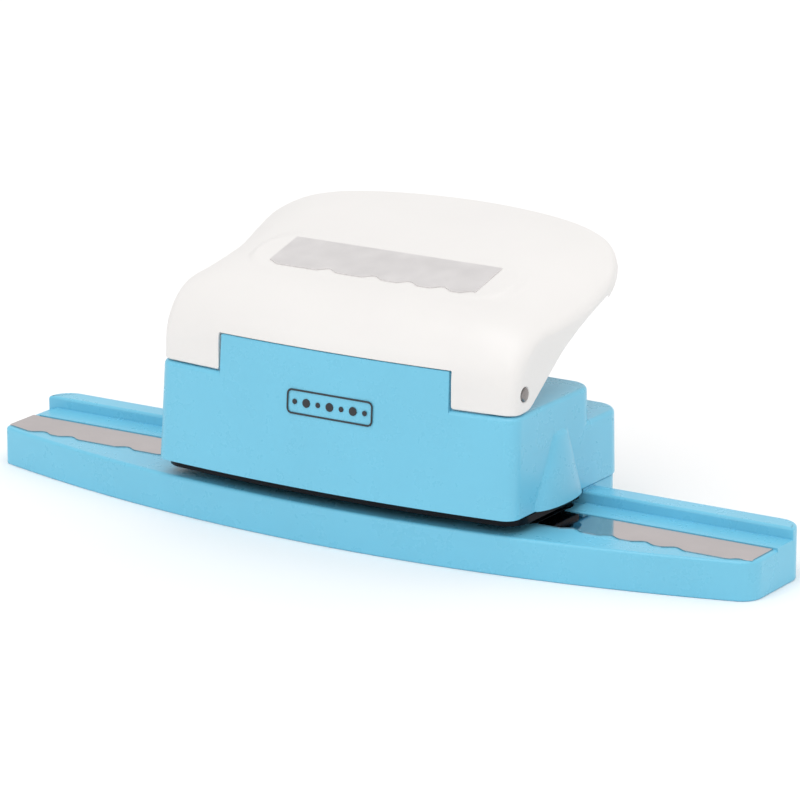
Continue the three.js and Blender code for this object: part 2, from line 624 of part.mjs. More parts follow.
add("guide_base", "bluePlastic", guideBase());
SIDES.forEach(([side, sign]) => add(`pattern_strip_${side}`, "foil", patternStrip(sign)));
add("die_plate", "blackSteel", diePlate());
DIE_SCREWS.forEach(([x, y], i) => (
  add(`die_screw_${i + 1}`, "steel", screw(x, y, { ...DIE_SCREW, bottom: 6.3, top: SLOT.bottom - 0.6 }))));
add("stripper_plate", "blackSteel", stripperPlate());
STRIPPER_SCREWS.forEach(([x, y], i) => (
  add(`stripper_screw_${i + 1}`, "blackSteel", sunkScrew(x, y, SLOT.top + 0.15, 2.3, 1.15, 23))));
add("housing", "bluePlastic", housing());
HOUSING_SCREWS.forEach(([x, y], i) => (
  add(`housing_screw_${i + 1}`, "steel", screw(x, y, { ...HOUSING_SCREW, bottom: 1, top: 27 }))));
add("front_badge", "ink", badge());
SIDES.forEach(([side, sign]) => (
  add(`guide_post_${side}`, "steel", rod(sign * POST.x, POST.y, POST.r, SLOT.top + 0.1, 38.7))));
SIDES.forEach(([side, sign]) => add(`return_spring_${side}`, "steel", returnSpring(sign * POST.x)));
add("punch_carrier", "greyPlastic", carrier());
add("punch_blade", "blackSteel", blade());
BLADE_SCREWS.forEach(([x, y], i) => add(`blade_screw_${i + 1}`, "steel", bladeScrew(x, y)));
add("lever", "whitePlastic", lever());
add("lever_label", "foil", label());
SIDES.forEach(([side, sign]) => add(`hinge_pin_${side}`, "steel", hingePin(sign)));

export default part;
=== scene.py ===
"""Looks of a craft punch for paper borders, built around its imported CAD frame.

Outlines and meshes are worked out in millimetres and scaled to metres when a piece is made.
+X runs along the guide base, -Y towards the user, and +Z up from the table.
"""
import math

import bmesh
import bpy
import numpy as np
from mathutils import Matrix, Vector


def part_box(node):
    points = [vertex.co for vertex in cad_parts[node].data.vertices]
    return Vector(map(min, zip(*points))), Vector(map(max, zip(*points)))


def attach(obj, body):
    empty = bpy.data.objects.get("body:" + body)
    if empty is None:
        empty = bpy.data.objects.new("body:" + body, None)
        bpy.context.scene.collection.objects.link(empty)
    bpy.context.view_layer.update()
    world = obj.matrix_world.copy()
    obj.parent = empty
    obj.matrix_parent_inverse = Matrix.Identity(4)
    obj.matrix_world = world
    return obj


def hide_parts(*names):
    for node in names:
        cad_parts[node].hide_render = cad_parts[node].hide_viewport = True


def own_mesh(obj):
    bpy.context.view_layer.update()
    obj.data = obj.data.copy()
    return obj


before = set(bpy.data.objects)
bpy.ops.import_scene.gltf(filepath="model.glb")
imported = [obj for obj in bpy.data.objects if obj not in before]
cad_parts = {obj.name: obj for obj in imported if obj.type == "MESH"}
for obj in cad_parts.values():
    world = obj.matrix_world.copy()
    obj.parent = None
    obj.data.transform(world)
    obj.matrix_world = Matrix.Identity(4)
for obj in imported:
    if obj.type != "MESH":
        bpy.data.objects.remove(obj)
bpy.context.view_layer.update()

MM = 0.001  # metres in a millimetre


def node_box(node):
    """Lowest and highest corner of a CAD node, in millimetres."""
    low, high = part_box(node)
    return low / MM, high / MM


def node_centre(node):
    low, high = node_box(node)
    return (low + high) / 2


# ---- sizes and places from the frame ----
BASE_LOW, BASE_HIGH = node_box("guide_base")
BODY_LOW, BODY_HIGH = node_box("housing")
BLADE_LOW, BLADE_HIGH = node_box("punch_blade")
FRONT = BODY_LOW.y  # the housing's front at its lower edge
REAR = node_box("lever")[1].y
BODY_BOTTOM = BODY_LOW.z
PIN = node_centre("hinge_pin_right")
MARK = node_centre("front_badge")
POSTS = [node_centre(f"guide_post_{side}") for side in ("left", "right")]
HOUSING_SCREWS = [node_centre(f"housing_screw_{i}") for i in (1, 2, 3)]
DIE_SCREWS = [node_centre(f"die_screw_{i}") for i in (1, 2, 3, 4)]
STRIPPER_SCREWS = [node_centre(f"stripper_screw_{i}") for i in (1, 2, 3, 4)]
BLADE_SCREWS = [node_centre(f"blade_screw_{i}") for i in (1, 2)]

# ---- driving dimensions, in millimetres ----
BELOW = -1  # where cutters start, under the table
PAST = 60  # where cutters end, past every piece that they cut
BOW = 440  # radius of the bow along the fronts of the housing, the plates and the lever
WALL = 2.2
DECK_Z = 10.5
BASE = dict(half=BASE_HIGH.x, front=BASE_LOW.y, front_bow=384, front_corner=6, left_corner=2,
            rear=8.1, rear_corner=6.3)
RAIL = dict(face=1.4, root=DECK_Z - 4, top=14.1)
LEDGE = dict(front=-6.7, inner=54.8, left_inset=2.5, right_inset=0.02, root=DECK_Z - 3, top=DECK_Z + 0.55)
PEDESTAL = dict(half=54, top=BASE_HIGH.z, ceiling=DECK_Z + 1)
BASE_EDGE = dict(foot=0.5, deck=0.9, rail=0.8, ledge=0.12, pedestal=0.25)  # roundings

BODY = dict(half=54.5, front=FRONT, front_bow=BOW, front_corner=4)
BLOCK = dict(rear=7.1, rear_corner=6)
BLOCK_SIDE_END = BLOCK["rear"] - BLOCK["rear_corner"]
BLOCK_TOP = 41.5
STEP_REAR = BODY_HIGH.y
STEP_CORNER = 7
STEP_TOP = 32.2
STEP_BURIED = dict(side=5, front=4)  # how far the step reaches into the block
TAB_HALF = 34.95
TAB_X = 0.85  # the tab stands a little off the middle
TAB_DEPTH = 3.4
TAB_TOP = BODY_HIGH.z
FRONT_DRAFT = 0.067  # how far a wall leans in for each millimetre of height
SIDE_DRAFT = 0.02
FRONT_ZONE = (-25, -30)  # the front's draft comes in between these y positions
BODY_EDGE = 1.2  # rounding of the housing's upper edges
BODY_FOOT_EDGE = 0.25
BULGE = dict(bottom_y=-12.8, bottom_half=11.5, top_y=-10.7, top_half=3, top=33.3, out=3.2, top_out=0.8,
             arch=1.6)  # the arch closes a bulge at its top

PIN_RADIUS = 1.8
PIN_HOLE = 1.9
LUG = dict(inner=44.4, outer=48.2, back=0.9, radius=3.7, edge=0.3)
POST_RADIUS = 2.2
POST_HOLE = 2.3
POST_SOCKET_Z = 35
FINGERS_X = (-20, 20)  # the lever's fingers, and the carrier's pads under them
PAD = dict(half=6, front=-16, rear=-9)


# ---- outlines: lists of (x, y), counter-clockwise seen from above ----
BOW_STEPS = 40
CORNER_STEPS = 10


def arc(cx, cy, radius, start, end, steps):
    """Points on an arc; the angles are in degrees."""
    angles = np.radians(np.linspace(start, end, steps + 1))
    return [(cx + radius * math.cos(a), cy + radius * math.sin(a)) for a in angles]


def mirrored(points):
    return [(-x, y) for x, y in reversed(points)]


def front_half(half, front, front_bow, front_corner):
    """Right half of a bowed front, from its middle round the corner arc to the side."""
    corner_x = half - front_corner
    reach = math.sqrt((front_bow - front_corner) ** 2 - corner_x ** 2)
    angle = math.degrees(math.atan2(-reach, corner_x))
    bow_centre = front + front_bow
    bow = arc(0, bow_centre, front_bow, -90, angle, BOW_STEPS)
    return bow + arc(corner_x, bow_centre - reach, front_corner, angle, 0, CORNER_STEPS)[1:]


def rear_half(half, rear, corner, steps=CORNER_STEPS):
    """Right half of a straight rear, from the side round the corner arc."""
    return arc(half - corner, rear - corner, corner, 0, 90, steps)


def whole(right):
    """Closed outline from its right half, which starts in its middle."""
    left = [point for point in mirrored(right) if point[0] < -1e-6]
    return np.array(right + left)


def behind(outline, y):
    """The part of a closed outline that lies behind a line y, closed by that line."""
    points = []
    for a, b in zip(outline, np.roll(outline, -1, axis=0)):
        if a[1] >= y:
            points.append(tuple(a))
        if (a[1] - y) * (b[1] - y) < 0:
            t = (y - a[1]) / (b[1] - a[1])
            points.append((a[0] + t * (b[0] - a[0]), y))
    return np.array(points)


def plan(half, front, front_bow, front_corner, rear, rear_corner, left_corner=None):
    """Closed outline with a bowed front; its front left corner may have a radius of its own."""
    back = rear_half(half, rear, rear_corner)
    right = front_half(half, front, front_bow, front_corner)
    left = front_half(half, front, front_bow, left_corner or front_corner)
    return np.array(right + back + mirrored(left + back)[:-1])


def shrunk(outline, distance):
    """The outline moved inwards by a distance."""
    before = outline - np.roll(outline, 1, axis=0)
    after = np.roll(outline, -1, axis=0) - outline
    before /= np.linalg.norm(before, axis=1)[:, None]
    after /= np.linalg.norm(after, axis=1)[:, None]
    inward = np.column_stack([-(before + after)[:, 1], (before + after)[:, 0]])
    inward /= np.linalg.norm(inward, axis=1)[:, None]
    normal = np.column_stack([-after[:, 1], after[:, 0]])
    sharpest = 0.3  # keeps a narrow corner from running away
    miter = np.clip((inward * normal).sum(axis=1), sharpest, 1)
    return outline + inward * (distance / miter)[:, None]


# ---- meshes ----
EDGE_STEPS = 5  # steps round a small rounded edge
TURN_STEPS = 48  # steps round a turned solid


def new_object(vertices, faces):
    mesh = bpy.data.meshes.new("solid")
    mesh.from_pydata([tuple(v) for v in np.asarray(vertices, float) * MM], [], faces)
    mesh.validate()
    obj = bpy.data.objects.new("solid", mesh)
    bpy.context.scene.collection.objects.link(obj)
    return obj


def at_height(outline, z):
    return np.column_stack([outline, np.full(len(outline), z)])


def loft(rings):
    """Closed solid through rings of equally many points, lowest first, with flat ends."""
    count = len(rings[0])
    faces = []
    for level in range(len(rings) - 1):
        low, high = level * count, (level + 1) * count
        for i in range(count):
            j = (i + 1) % count
            faces.append((low + i, low + j, high + j, high + i))
    faces.append(tuple(reversed(range(count))))
    faces.append(tuple(range((len(rings) - 1) * count, len(rings) * count)))
    return new_object(np.concatenate(rings), faces)


def rounding(radius):
    """(inset, drop) pairs of a rounded edge, from wall to flat."""
    angles = np.linspace(0, math.pi / 2, EDGE_STEPS + 1)
    return [(radius * (1 - math.cos(a)), radius * (1 - math.sin(a))) for a in angles]


def rounded_rings(outline, z0, z1, top=0.0, bottom=0.0, levels=()):
    """Rings of an upright solid with rounded edges; levels are extra heights on its wall."""
    rings = []
    if bottom:
        for inset, drop in reversed(rounding(bottom)):
            rings.append(at_height(shrunk(outline, inset), z0 + drop))
    else:
        rings.append(at_height(outline, z0))
    rings += [at_height(outline, z) for z in levels]
    if top:
        for inset, drop in rounding(top):
            rings.append(at_height(shrunk(outline, inset), z1 - drop))
    else:
        rings.append(at_height(outline, z1))
    return rings


def prism(outline, z0, z1, top=0.0, bottom=0.0):
    """Upright solid with rounded upper and lower edges."""
    return loft(rounded_rings(np.asarray(outline, float), z0, z1, top, bottom))


def side_prism(outline, x0, x1, edge=0.0):
    """Solid of a (y, z) outline between two x positions."""
    obj = prism(outline, x0, x1, edge, edge)
    obj.data.transform(Matrix(((0, 0, 1, 0), (1, 0, 0, 0), (0, 1, 0, 0), (0, 0, 0, 1))))
    return obj


def box(x0, x1, y0, y1, z0, z1, edge=0.0):
    return prism([(x0, y0), (x1, y0), (x1, y1), (x0, y1)], z0, z1, edge, edge)


def turned(profile, x, y):
    """Closed solid turned about an upright axis; the profile is (radius, z), lower end first."""
    angles = np.linspace(0, 2 * math.pi, TURN_STEPS, endpoint=False)
    rings = []
    for radius, z in profile:
        circle = np.column_stack([x + radius * np.cos(angles), y + radius * np.sin(angles)])
        rings.append(at_height(circle, z))
    return loft(rings)


def rod(x, y, radius, z0, z1, edge=0.0):
    """Upright round solid, with both ends chamfered if it has an edge."""
    if edge:
        profile = [(radius - edge, z0), (radius, z0 + edge), (radius, z1 - edge), (radius - edge, z1)]
    else:
        profile = [(radius, z0), (radius, z1)]
    return turned(profile, x, y)


def rods(places, radius, z0, z1):
    """A rod at each of the places."""
    return [rod(place.x, place.y, radius, z0, z1) for place in places]


def cross_rod(profile, y, z):
    """Closed solid turned about an axis along X through (y, z); the profile is (radius, x)."""
    obj = turned(profile, 0, 0)
    obj.data.transform(Matrix(((0, 0, 1, 0), (1, 0, 0, y * MM), (0, 1, 0, z * MM), (0, 0, 0, 1))))
    return obj


def apply_modifiers(obj):
    graph = bpy.context.evaluated_depsgraph_get()
    mesh = bpy.data.meshes.new_from_object(obj.evaluated_get(graph))
    old = obj.data
    obj.modifiers.clear()
    obj.data = mesh
    bpy.data.meshes.remove(old)


def combined(target, others, operation):
    """Joins the others to the target, or cuts them from it, and removes them."""
    for other in others:
        modifier = target.modifiers.new("boolean", "BOOLEAN")
        modifier.operation = operation
        modifier.solver = "MANIFOLD"
        modifier.object = other
        apply_modifiers(target)
        bpy.data.objects.remove(other)
    return target


def joined(target, *others):
    return combined(target, others, "UNION")


def cut(target, *others):
    return combined(target, others, "DIFFERENCE")


def merged_loose(first, *others):
    """One object from several solids that lie apart."""
    mesh = bmesh.new()
    for obj in (first, *others):
        mesh.from_mesh(obj.data)
    mesh.to_mesh(first.data)
    mesh.free()
    for obj in others:
        bpy.data.objects.remove(obj)
    return first


def tidy_mesh(obj):
    """Merges points that booleans left on top of each other, and drops faces without area."""
    nearest = 0.0005 * MM
    mesh = bmesh.new()
    mesh.from_mesh(obj.data)
    bmesh.ops.remove_doubles(mesh, verts=mesh.verts, dist=nearest)
    bmesh.ops.dissolve_degenerate(mesh, edges=mesh.edges, dist=nearest)
    mesh.to_mesh(obj.data)
    mesh.free()


def finished(obj, name, body, material, nodes, sharp=35):
    """Names and shades a piece, ties it to its body, and hides the CAD nodes that it replaces."""
    tidy_mesh(obj)
    obj.name = obj.data.name = name
    obj.data.shade_smooth()
    obj.data.set_sharp_from_angle(angle=math.radians(sharp))
    weighted = obj.modifiers.new("even flats", "WEIGHTED_NORMAL")
    weighted.keep_sharp = True
    weighted.weight = 80
    apply_modifiers(obj)
    obj.data.materials.clear()
    obj.data.materials.append(material)
    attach(obj, body)
    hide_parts(*nodes)
    return obj


# ---- materials ----
NOISE_LOW = 0.3  # most of a noise lies between these two
NOISE_HIGH = 0.7


def shader_tree(name):
    material = bpy.data.materials.new(name)
    material.use_nodes = True
    nodes = material.node_tree.nodes
    return material, nodes, material.node_tree.links, nodes["Principled BSDF"]


def noise(nodes, links, scale, detail, roughness=0.5):
    """3-D noise in the object's own coordinates; the scale is in features per metre."""
    place = nodes.new("ShaderNodeTexCoord")
    texture = nodes.new("ShaderNodeTexNoise")
    texture.inputs["Scale"].default_value = scale
    texture.inputs["Detail"].default_value = detail
    texture.inputs["Roughness"].default_value = roughness
    links.new(place.outputs["Object"], texture.inputs["Vector"])
    return texture.outputs["Fac"]


def tint(nodes, links, factor, shader, dark, light):
    """Colours the surface between two colours, by a noise."""
    ramp = nodes.new("ShaderNodeValToRGB")
    for element, place, colour in zip(ramp.color_ramp.elements, (NOISE_LOW, NOISE_HIGH), (dark, light)):
        element.position = place
        element.color = (*colour, 1)
    links.new(factor, ramp.inputs["Fac"])
    links.new(ramp.outputs["Color"], shader.inputs["Base Color"])


def gloss(nodes, links, factor, shader, low, high):
    """Lets the roughness go between two numbers, by a noise."""
    span = nodes.new("ShaderNodeMapRange")
    span.inputs["From Min"].default_value = NOISE_LOW
    span.inputs["From Max"].default_value = NOISE_HIGH
    span.inputs["To Min"].default_value = low
    span.inputs["To Max"].default_value = high
    links.new(factor, span.inputs["Value"])
    links.new(span.outputs["Result"], shader.inputs["Roughness"])


def bump(nodes, links, height, shader, strength, depth):
    """Fine relief; its depth is in millimetres."""
    node = nodes.new("ShaderNodeBump")
    node.inputs["Strength"].default_value = strength
    node.inputs["Distance"].default_value = depth * MM
    links.new(height, node.inputs["Height"])
    links.new(node.outputs["Normal"], shader.inputs["Normal"])


def plastic(name, colour, rough, tone=0.03):
    """Moulded plastic: a nearly even tone, a satin gloss that varies a little, and a fine skin."""
    material, nodes, links, shader = shader_tree(name)
    darker = tuple(c * (1 - tone) for c in colour)
    lighter = tuple(min(1, c * (1 + tone)) for c in colour)
    tint(nodes, links, noise(nodes, links, 38, 3), shader, darker, lighter)
    gloss(nodes, links, noise(nodes, links, 160, 4, 0.6), shader, rough - 0.03, rough + 0.04)
    bump(nodes, links, noise(nodes, links, 2600, 2), shader, 0.25, 0.006)
    shader.inputs["IOR"].default_value = 1.5
    return material


def metal(name, colour, rough, spread=0.05, metallic=1.0):
    """Metal with fine uneven gloss and a faint surface texture."""
    material, nodes, links, shader = shader_tree(name)
    shader.inputs["Metallic"].default_value = metallic
    fine = noise(nodes, links, 900, 4, 0.6)
    tint(nodes, links, fine, shader, tuple(c * 0.85 for c in colour), colour)
    gloss(nodes, links, fine, shader, rough, rough + spread)
    bump(nodes, links, fine, shader, 0.3, 0.02)
    return material


def foil(name, dark, light, rough, wave):
    """Reflective film: wide soft clouds, and a slight waviness that bends what it mirrors."""
    material, nodes, links, shader = shader_tree(name)
    shader.inputs["Metallic"].default_value = 1.0
    cloud = noise(nodes, links, 120, 3, 0.55)
    tint(nodes, links, cloud, shader, dark, light)
    gloss(nodes, links, cloud, shader, rough, rough * 1.6)
    bump(nodes, links, noise(nodes, links, 60, 2), shader, 0.2, wave)
    return material


BLUE = plastic("blue_plastic", (0.17, 0.555, 0.755), 0.28, tone=0.02)
WHITE = plastic("white_plastic", (0.82, 0.805, 0.79), 0.36, tone=0.012)
STRIP_FOIL = foil("pattern_foil", (0.52, 0.475, 0.475), (0.56, 0.51, 0.51), 0.07, wave=0.03)
LABEL_FOIL = foil("label_foil", (0.82, 0.8, 0.8), (0.88, 0.86, 0.86), 0.3, wave=0.1)
BLACK_STEEL = metal("black_steel", (0.003, 0.005, 0.009), 0.2, 0.06, metallic=0.0)
BLACK_STEEL.node_tree.nodes["Principled BSDF"].inputs["Specular IOR Level"].default_value = 0.12
BLADE_STEEL = metal("blade_steel", (0.4, 0.4, 0.41), 0.25)
BRIGHT_STEEL = metal("bright_steel", (0.28, 0.26, 0.255), 0.24)
SPRING_STEEL = metal("spring_steel", (0.45, 0.45, 0.46), 0.28)
SCREW_STEEL = metal("screw_steel", (0.5, 0.5, 0.5), 0.3)
GREY_PLASTIC = plastic("grey_plastic", (0.12, 0.125, 0.13), 0.45)
INK = plastic("printed_ink", (0.022, 0.024, 0.03), 0.5)


# ---- guide base ----
RIB_HALF = 0.8  # half thickness of the ribs, also the lever's
RIB_FOOT = 0.8  # the ribs, bosses and webs end this far above the table
RIBS_X = (-88, -62, -46, 46, 62, 88)
BOSS_RADIUS = 4.6
WEB_FRONT = 8
CHIP_HOLE = (-32.2, 32.2, -19.4, -2.9)  # its sides in x, then in y
HEAD_WELL = dict(radius=3.6, depth=3.4)
SHANK_HOLE = 1.8
DIE_THREAD = dict(radius=1.6, bottom=5)
POCKET_GAP = 0.2


def pedestal_outline(shrink=0.0):
    half, rear = PEDESTAL["half"] - shrink, STEP_REAR - shrink
    right = [(half, RAIL["face"] + shrink)] + rear_half(half, rear, STEP_CORNER - shrink)
    return np.array(right + mirrored(right))


def base_outside():
    """The base before it is hollowed: deck, rail, pedestal and ledges."""
    outline = plan(**BASE)
    edge = BASE_EDGE
    deck = prism(outline, 0, DECK_Z, top=edge["deck"], bottom=edge["foot"])
    rail = prism(behind(outline, RAIL["face"]), RAIL["root"], RAIL["top"], top=edge["rail"])
    pedestal = prism(pedestal_outline(), 0, PEDESTAL["top"], top=edge["pedestal"], bottom=edge["foot"])
    left, right = LEDGE["left_inset"] - BASE["half"], BASE["half"] - LEDGE["right_inset"]
    rear = RAIL["face"] + 1
    ledges = []
    for x0, x1 in ((left, -LEDGE["inner"]), (LEDGE["inner"], right)):
        ledges.append(box(x0, x1, LEDGE["front"], rear, LEDGE["root"], LEDGE["top"], edge["ledge"]))
    return joined(deck, rail, pedestal, *ledges)


def base_room():
    """The hollow of the base, open downwards, around its ribs, bosses and webs."""
    inner = {**BASE, "left_corner": 1, "front": BASE["front"] + WALL}
    for name in ("half", "front_bow", "front_corner", "rear", "rear_corner"):
        inner[name] -= WALL
    room = prism(plan(**inner), BELOW, DECK_Z - WALL)
    room = joined(room, prism(pedestal_outline(WALL), BELOW, PEDESTAL["ceiling"]))
    ribs = [box(x - RIB_HALF, x + RIB_HALF, -PAST, PAST, RIB_FOOT, PAST) for x in RIBS_X]
    bosses = rods(HOUSING_SCREWS, BOSS_RADIUS, RIB_FOOT, PAST)
    webs = [box(s.x - RIB_HALF, s.x + RIB_HALF, WEB_FRONT, PAST, RIB_FOOT, PAST) for s in HOUSING_SCREWS]
    return cut(room, *ribs, *bosses, *webs)


def guide_base():
    chip_hole = box(*CHIP_HOLE, BELOW, PAST)
    well, depth = HEAD_WELL["radius"], HEAD_WELL["depth"]
    stepped = [(well, BELOW), (well, depth), (SHANK_HOLE, depth), (SHANK_HOLE, PAST)]
    screw_holes = [turned(stepped, s.x, s.y) for s in HOUSING_SCREWS]
    screw_holes += rods(DIE_SCREWS, DIE_THREAD["radius"], DIE_THREAD["bottom"], PAST)
    low, high = node_box("die_plate")
    gap = POCKET_GAP
    pocket_outline = plate_outline(high.x + gap, low.y - gap, high.y + gap, DIE_CORNER)
    pocket = prism(pocket_outline, low.z - gap, DECK_Z + 1)
    body = cut(base_outside(), base_room(), chip_hole, pocket, *screw_holes)
    finished(body, "guide_base_shell", "base", BLUE, ["guide_base"])


# ---- foil strips ----
PATTERN_PERIOD = 61.9
NOTCHES = (-13, 0.9, 11.6, 21.6, 30.5)  # middles of the notches in one period
NOTCH_HALF = 3.6
NOTCH_DEPTH = 1.5
NOTCH_STEP = 0.3  # between the points of the edge
STRIP_FRONT = -20
FRONT_RIM = 1.5  # the strips stay this far behind the base's front


def notch_depth(x):
    """How far the border pattern's edge stands back: soft notches in a straight line."""
    deepest = np.zeros_like(x)
    for centre in NOTCHES:
        away = x - centre - PATTERN_PERIOD * np.round((x - centre) / PATTERN_PERIOD)
        share = np.clip(np.abs(away) / NOTCH_HALF, 0, 1)
        deepest = np.maximum(deepest, NOTCH_DEPTH * 0.5 * (1 + np.cos(math.pi * share)))
    return deepest


def notched_edge(x0, x1, y):
    """The pattern's edge from x0 to x1, its lobes standing at y."""
    x = np.linspace(x0, x1, round((x1 - x0) / NOTCH_STEP))
    return list(zip(x, y + notch_depth(x)))


def pattern_strip(side):
    name = f"pattern_strip_{side}"
    low, high = node_box(name)
    outline = []
    for x, y in notched_edge(low.x, high.x, STRIP_FRONT):
        base_front = BASE["front"] + BASE["front_bow"] - math.sqrt(BASE["front_bow"] ** 2 - x ** 2)
        outline.append((x, max(y, base_front + FRONT_RIM)))
    outline += [(high.x, high.y), (low.x, high.y)]
    strip = prism(outline, low.z, high.z)
    finished(strip, f"{name}_foil", "base", STRIP_FOIL, [name])


# ---- housing ----
STEP_BOSS_RADIUS = 4
BLOCK_BOSS_RADIUS = 3.4
STEP_THREAD = dict(radius=1.6, top=28)
BLOCK_THREAD = dict(radius=1.4, top=24)
POST_HOLE_TOP = 39
PAD_HOLE = dict(gap=0.5, bottom=30)
ROOM_EDGE = 0.5  # rounding of the hollow's ceilings
TAB_EDGE = 0.35
TAB_BURIED = 3  # how far it reaches down into the block


def leaning(obj):
    """Moulding draft: every wall leans in as it rises, the front the most."""
    count = len(obj.data.vertices)
    co = np.empty(count * 3)
    obj.data.vertices.foreach_get("co", co)
    co = co.reshape(-1, 3) / MM
    rise = co[:, 2] - BODY_BOTTOM
    start, full = FRONT_ZONE
    at_front = np.clip((start - co[:, 1]) / (start - full), 0, 1)
    co[:, 0] -= co[:, 0] / BODY["half"] * SIDE_DRAFT * rise
    co[:, 1] += at_front * FRONT_DRAFT * rise
    obj.data.vertices.foreach_set("co", (co * MM).ravel())
    obj.data.update()
    return obj


def bulged(ring, half=BODY["half"]):
    """A ring of the tall block with the half-cone bulges pushed out of its side walls."""
    z = ring[0, 2]
    t = np.clip((z - BODY_BOTTOM) / (BULGE["top"] - BODY_BOTTOM), 0, 1)
    centre = BULGE["bottom_y"] + t * (BULGE["top_y"] - BULGE["bottom_y"])
    reach = BULGE["bottom_half"] + t * (BULGE["top_half"] - BULGE["bottom_half"])
    near_top = np.clip((BULGE["top"] - z) / BULGE["arch"], 0, 1)
    out = (BULGE["out"] * (1 - t) + BULGE["top_out"] * t) * math.sqrt(near_top * (2 - near_top))
    share = np.sqrt(np.clip(1 - ((ring[:, 1] - centre) / reach) ** 2, 0, 1))
    on_side = np.abs(ring[:, 0]) > half - 0.01
    moved = ring.copy()
    moved[:, 0] += np.sign(ring[:, 0]) * np.where(on_side, out * share, 0)
    return moved


def block_outline(half, front, front_bow, front_corner, rear, rear_corner):
    """Plan of the tall block, with points along its sides for the bulges."""
    side_points = 70
    right = front_half(half, front, front_bow, front_corner)
    side_y = np.linspace(right[-1][1], rear - rear_corner, side_points)
    right += [(half, y) for y in side_y[1:]]
    return whole(right + rear_half(half, rear, rear_corner)[1:])


def step_outline(half, rear, rear_corner):
    """Plan of the low step; it leaves the block's side wall where the block's corner arc starts."""
    right = [(half, BLOCK_SIDE_END)] + rear_half(half, rear, rear_corner, 12)
    inner, front = half - STEP_BURIED["side"], BLOCK_SIDE_END - STEP_BURIED["front"]
    return np.array(right + mirrored(right) + [(-inner, front), (inner, front)])


def tab():
    """The front wall that rises between the lever's legs, flush with the block's front."""
    level = BLOCK_TOP - BODY_EDGE
    x = np.linspace(TAB_X - TAB_HALF, TAB_X + TAB_HALF, 60)
    front = np.column_stack([x, BODY["front"] + BOW - np.sqrt(BOW ** 2 - x ** 2)])
    rear = BODY["front"] + TAB_DEPTH
    outline = np.concatenate([front, [(x[-1], rear), (x[0], rear)]])
    root = outline.copy()
    root[:len(front), 1] += 1  # below the block's top the tab's front lies inside the block
    rings = [at_height(root, level - TAB_BURIED)]
    rings += rounded_rings(outline, level, TAB_TOP, top=TAB_EDGE)
    return leaning(loft(rings))


def housing_room():
    """The hollow of the housing, open downwards, around the bosses."""
    inner = dict(half=BODY["half"] - WALL, front=BODY["front"] + WALL, front_bow=BOW - WALL,
                 front_corner=BODY["front_corner"] - WALL)
    rear, rear_corner = BLOCK["rear"] - WALL, BLOCK["rear_corner"] - WALL
    tall = block_outline(**inner, rear=rear, rear_corner=rear_corner)
    foot = BODY_BOTTOM - 1
    levels = np.linspace(BODY_BOTTOM, BULGE["top"], 20)
    rings = rounded_rings(tall, foot, BLOCK_TOP - WALL, top=ROOM_EDGE, levels=levels)
    room = leaning(loft([bulged(ring, inner["half"]) for ring in rings]))
    low = step_outline(inner["half"], STEP_REAR - WALL, STEP_CORNER - WALL)
    room = joined(room, leaning(prism(low, foot, STEP_TOP - WALL, top=ROOM_EDGE)))
    bosses = rods(HOUSING_SCREWS, STEP_BOSS_RADIUS, BODY_BOTTOM, STEP_TOP + 1)
    bosses += rods(STRIPPER_SCREWS, BLOCK_BOSS_RADIUS, BODY_BOTTOM, BLOCK_TOP + 1)
    bosses += rods(POSTS, BLOCK_BOSS_RADIUS, POST_SOCKET_Z, BLOCK_TOP + 1)
    return cut(room, *bosses)


def lug(side):
    """Upright ear on the block that holds the inner end of a hinge pin."""
    foot = BLOCK_TOP - WALL - 1
    y, radius = PIN.y + LUG["back"], LUG["radius"]
    outline = [(y - radius, foot), (y + radius, foot)] + arc(y, PIN.z, radius, 0, 180, 20)
    x0, x1 = sorted((side * LUG["inner"], side * LUG["outer"]))
    return side_prism(outline, x0, x1, LUG["edge"])


def pad_blocks(z0, z1, grow=0.0, edge=0.0):
    """A block in the plan of each of the carrier's pads, or larger all round."""
    front, rear, half = PAD["front"] - grow, PAD["rear"] + grow, PAD["half"] + grow
    return [box(x - half, x + half, front, rear, z0, z1, edge) for x in FINGERS_X]


def housing_holes():
    """Cutters for the pins, the pads, the screws and the posts."""
    pin_hole = cross_rod([(PIN_HOLE, -PAST), (PIN_HOLE, PAST)], PIN.y, PIN.z)
    pad_holes = pad_blocks(PAD_HOLE["bottom"], PAST, PAD_HOLE["gap"])
    threads = rods(HOUSING_SCREWS, STEP_THREAD["radius"], 0, STEP_THREAD["top"])
    threads += rods(STRIPPER_SCREWS, BLOCK_THREAD["radius"], 0, BLOCK_THREAD["top"])
    return [pin_hole] + pad_holes + threads + rods(POSTS, POST_HOLE, 0, POST_HOLE_TOP)


def housing():
    levels = np.linspace(BODY_BOTTOM + 0.4, BULGE["top"] + 0.2, 30)
    step_level = STEP_TOP - BODY_EDGE
    levels[np.argmin(abs(levels - step_level))] = step_level
    outline = block_outline(**BODY, **BLOCK)
    rings = rounded_rings(outline, BODY_BOTTOM, BLOCK_TOP, BODY_EDGE, BODY_FOOT_EDGE, levels)
    block = leaning(loft([bulged(ring) for ring in rings]))
    step_plan = step_outline(BODY["half"], STEP_REAR, STEP_CORNER)
    step = leaning(prism(step_plan, BODY_BOTTOM, STEP_TOP, BODY_EDGE, BODY_FOOT_EDGE))
    shell = cut(joined(block, step, tab()), housing_room())
    shell = cut(joined(shell, lug(-1), lug(1)), *housing_holes())
    finished(shell, "housing_shell", "base", BLUE, ["housing"])


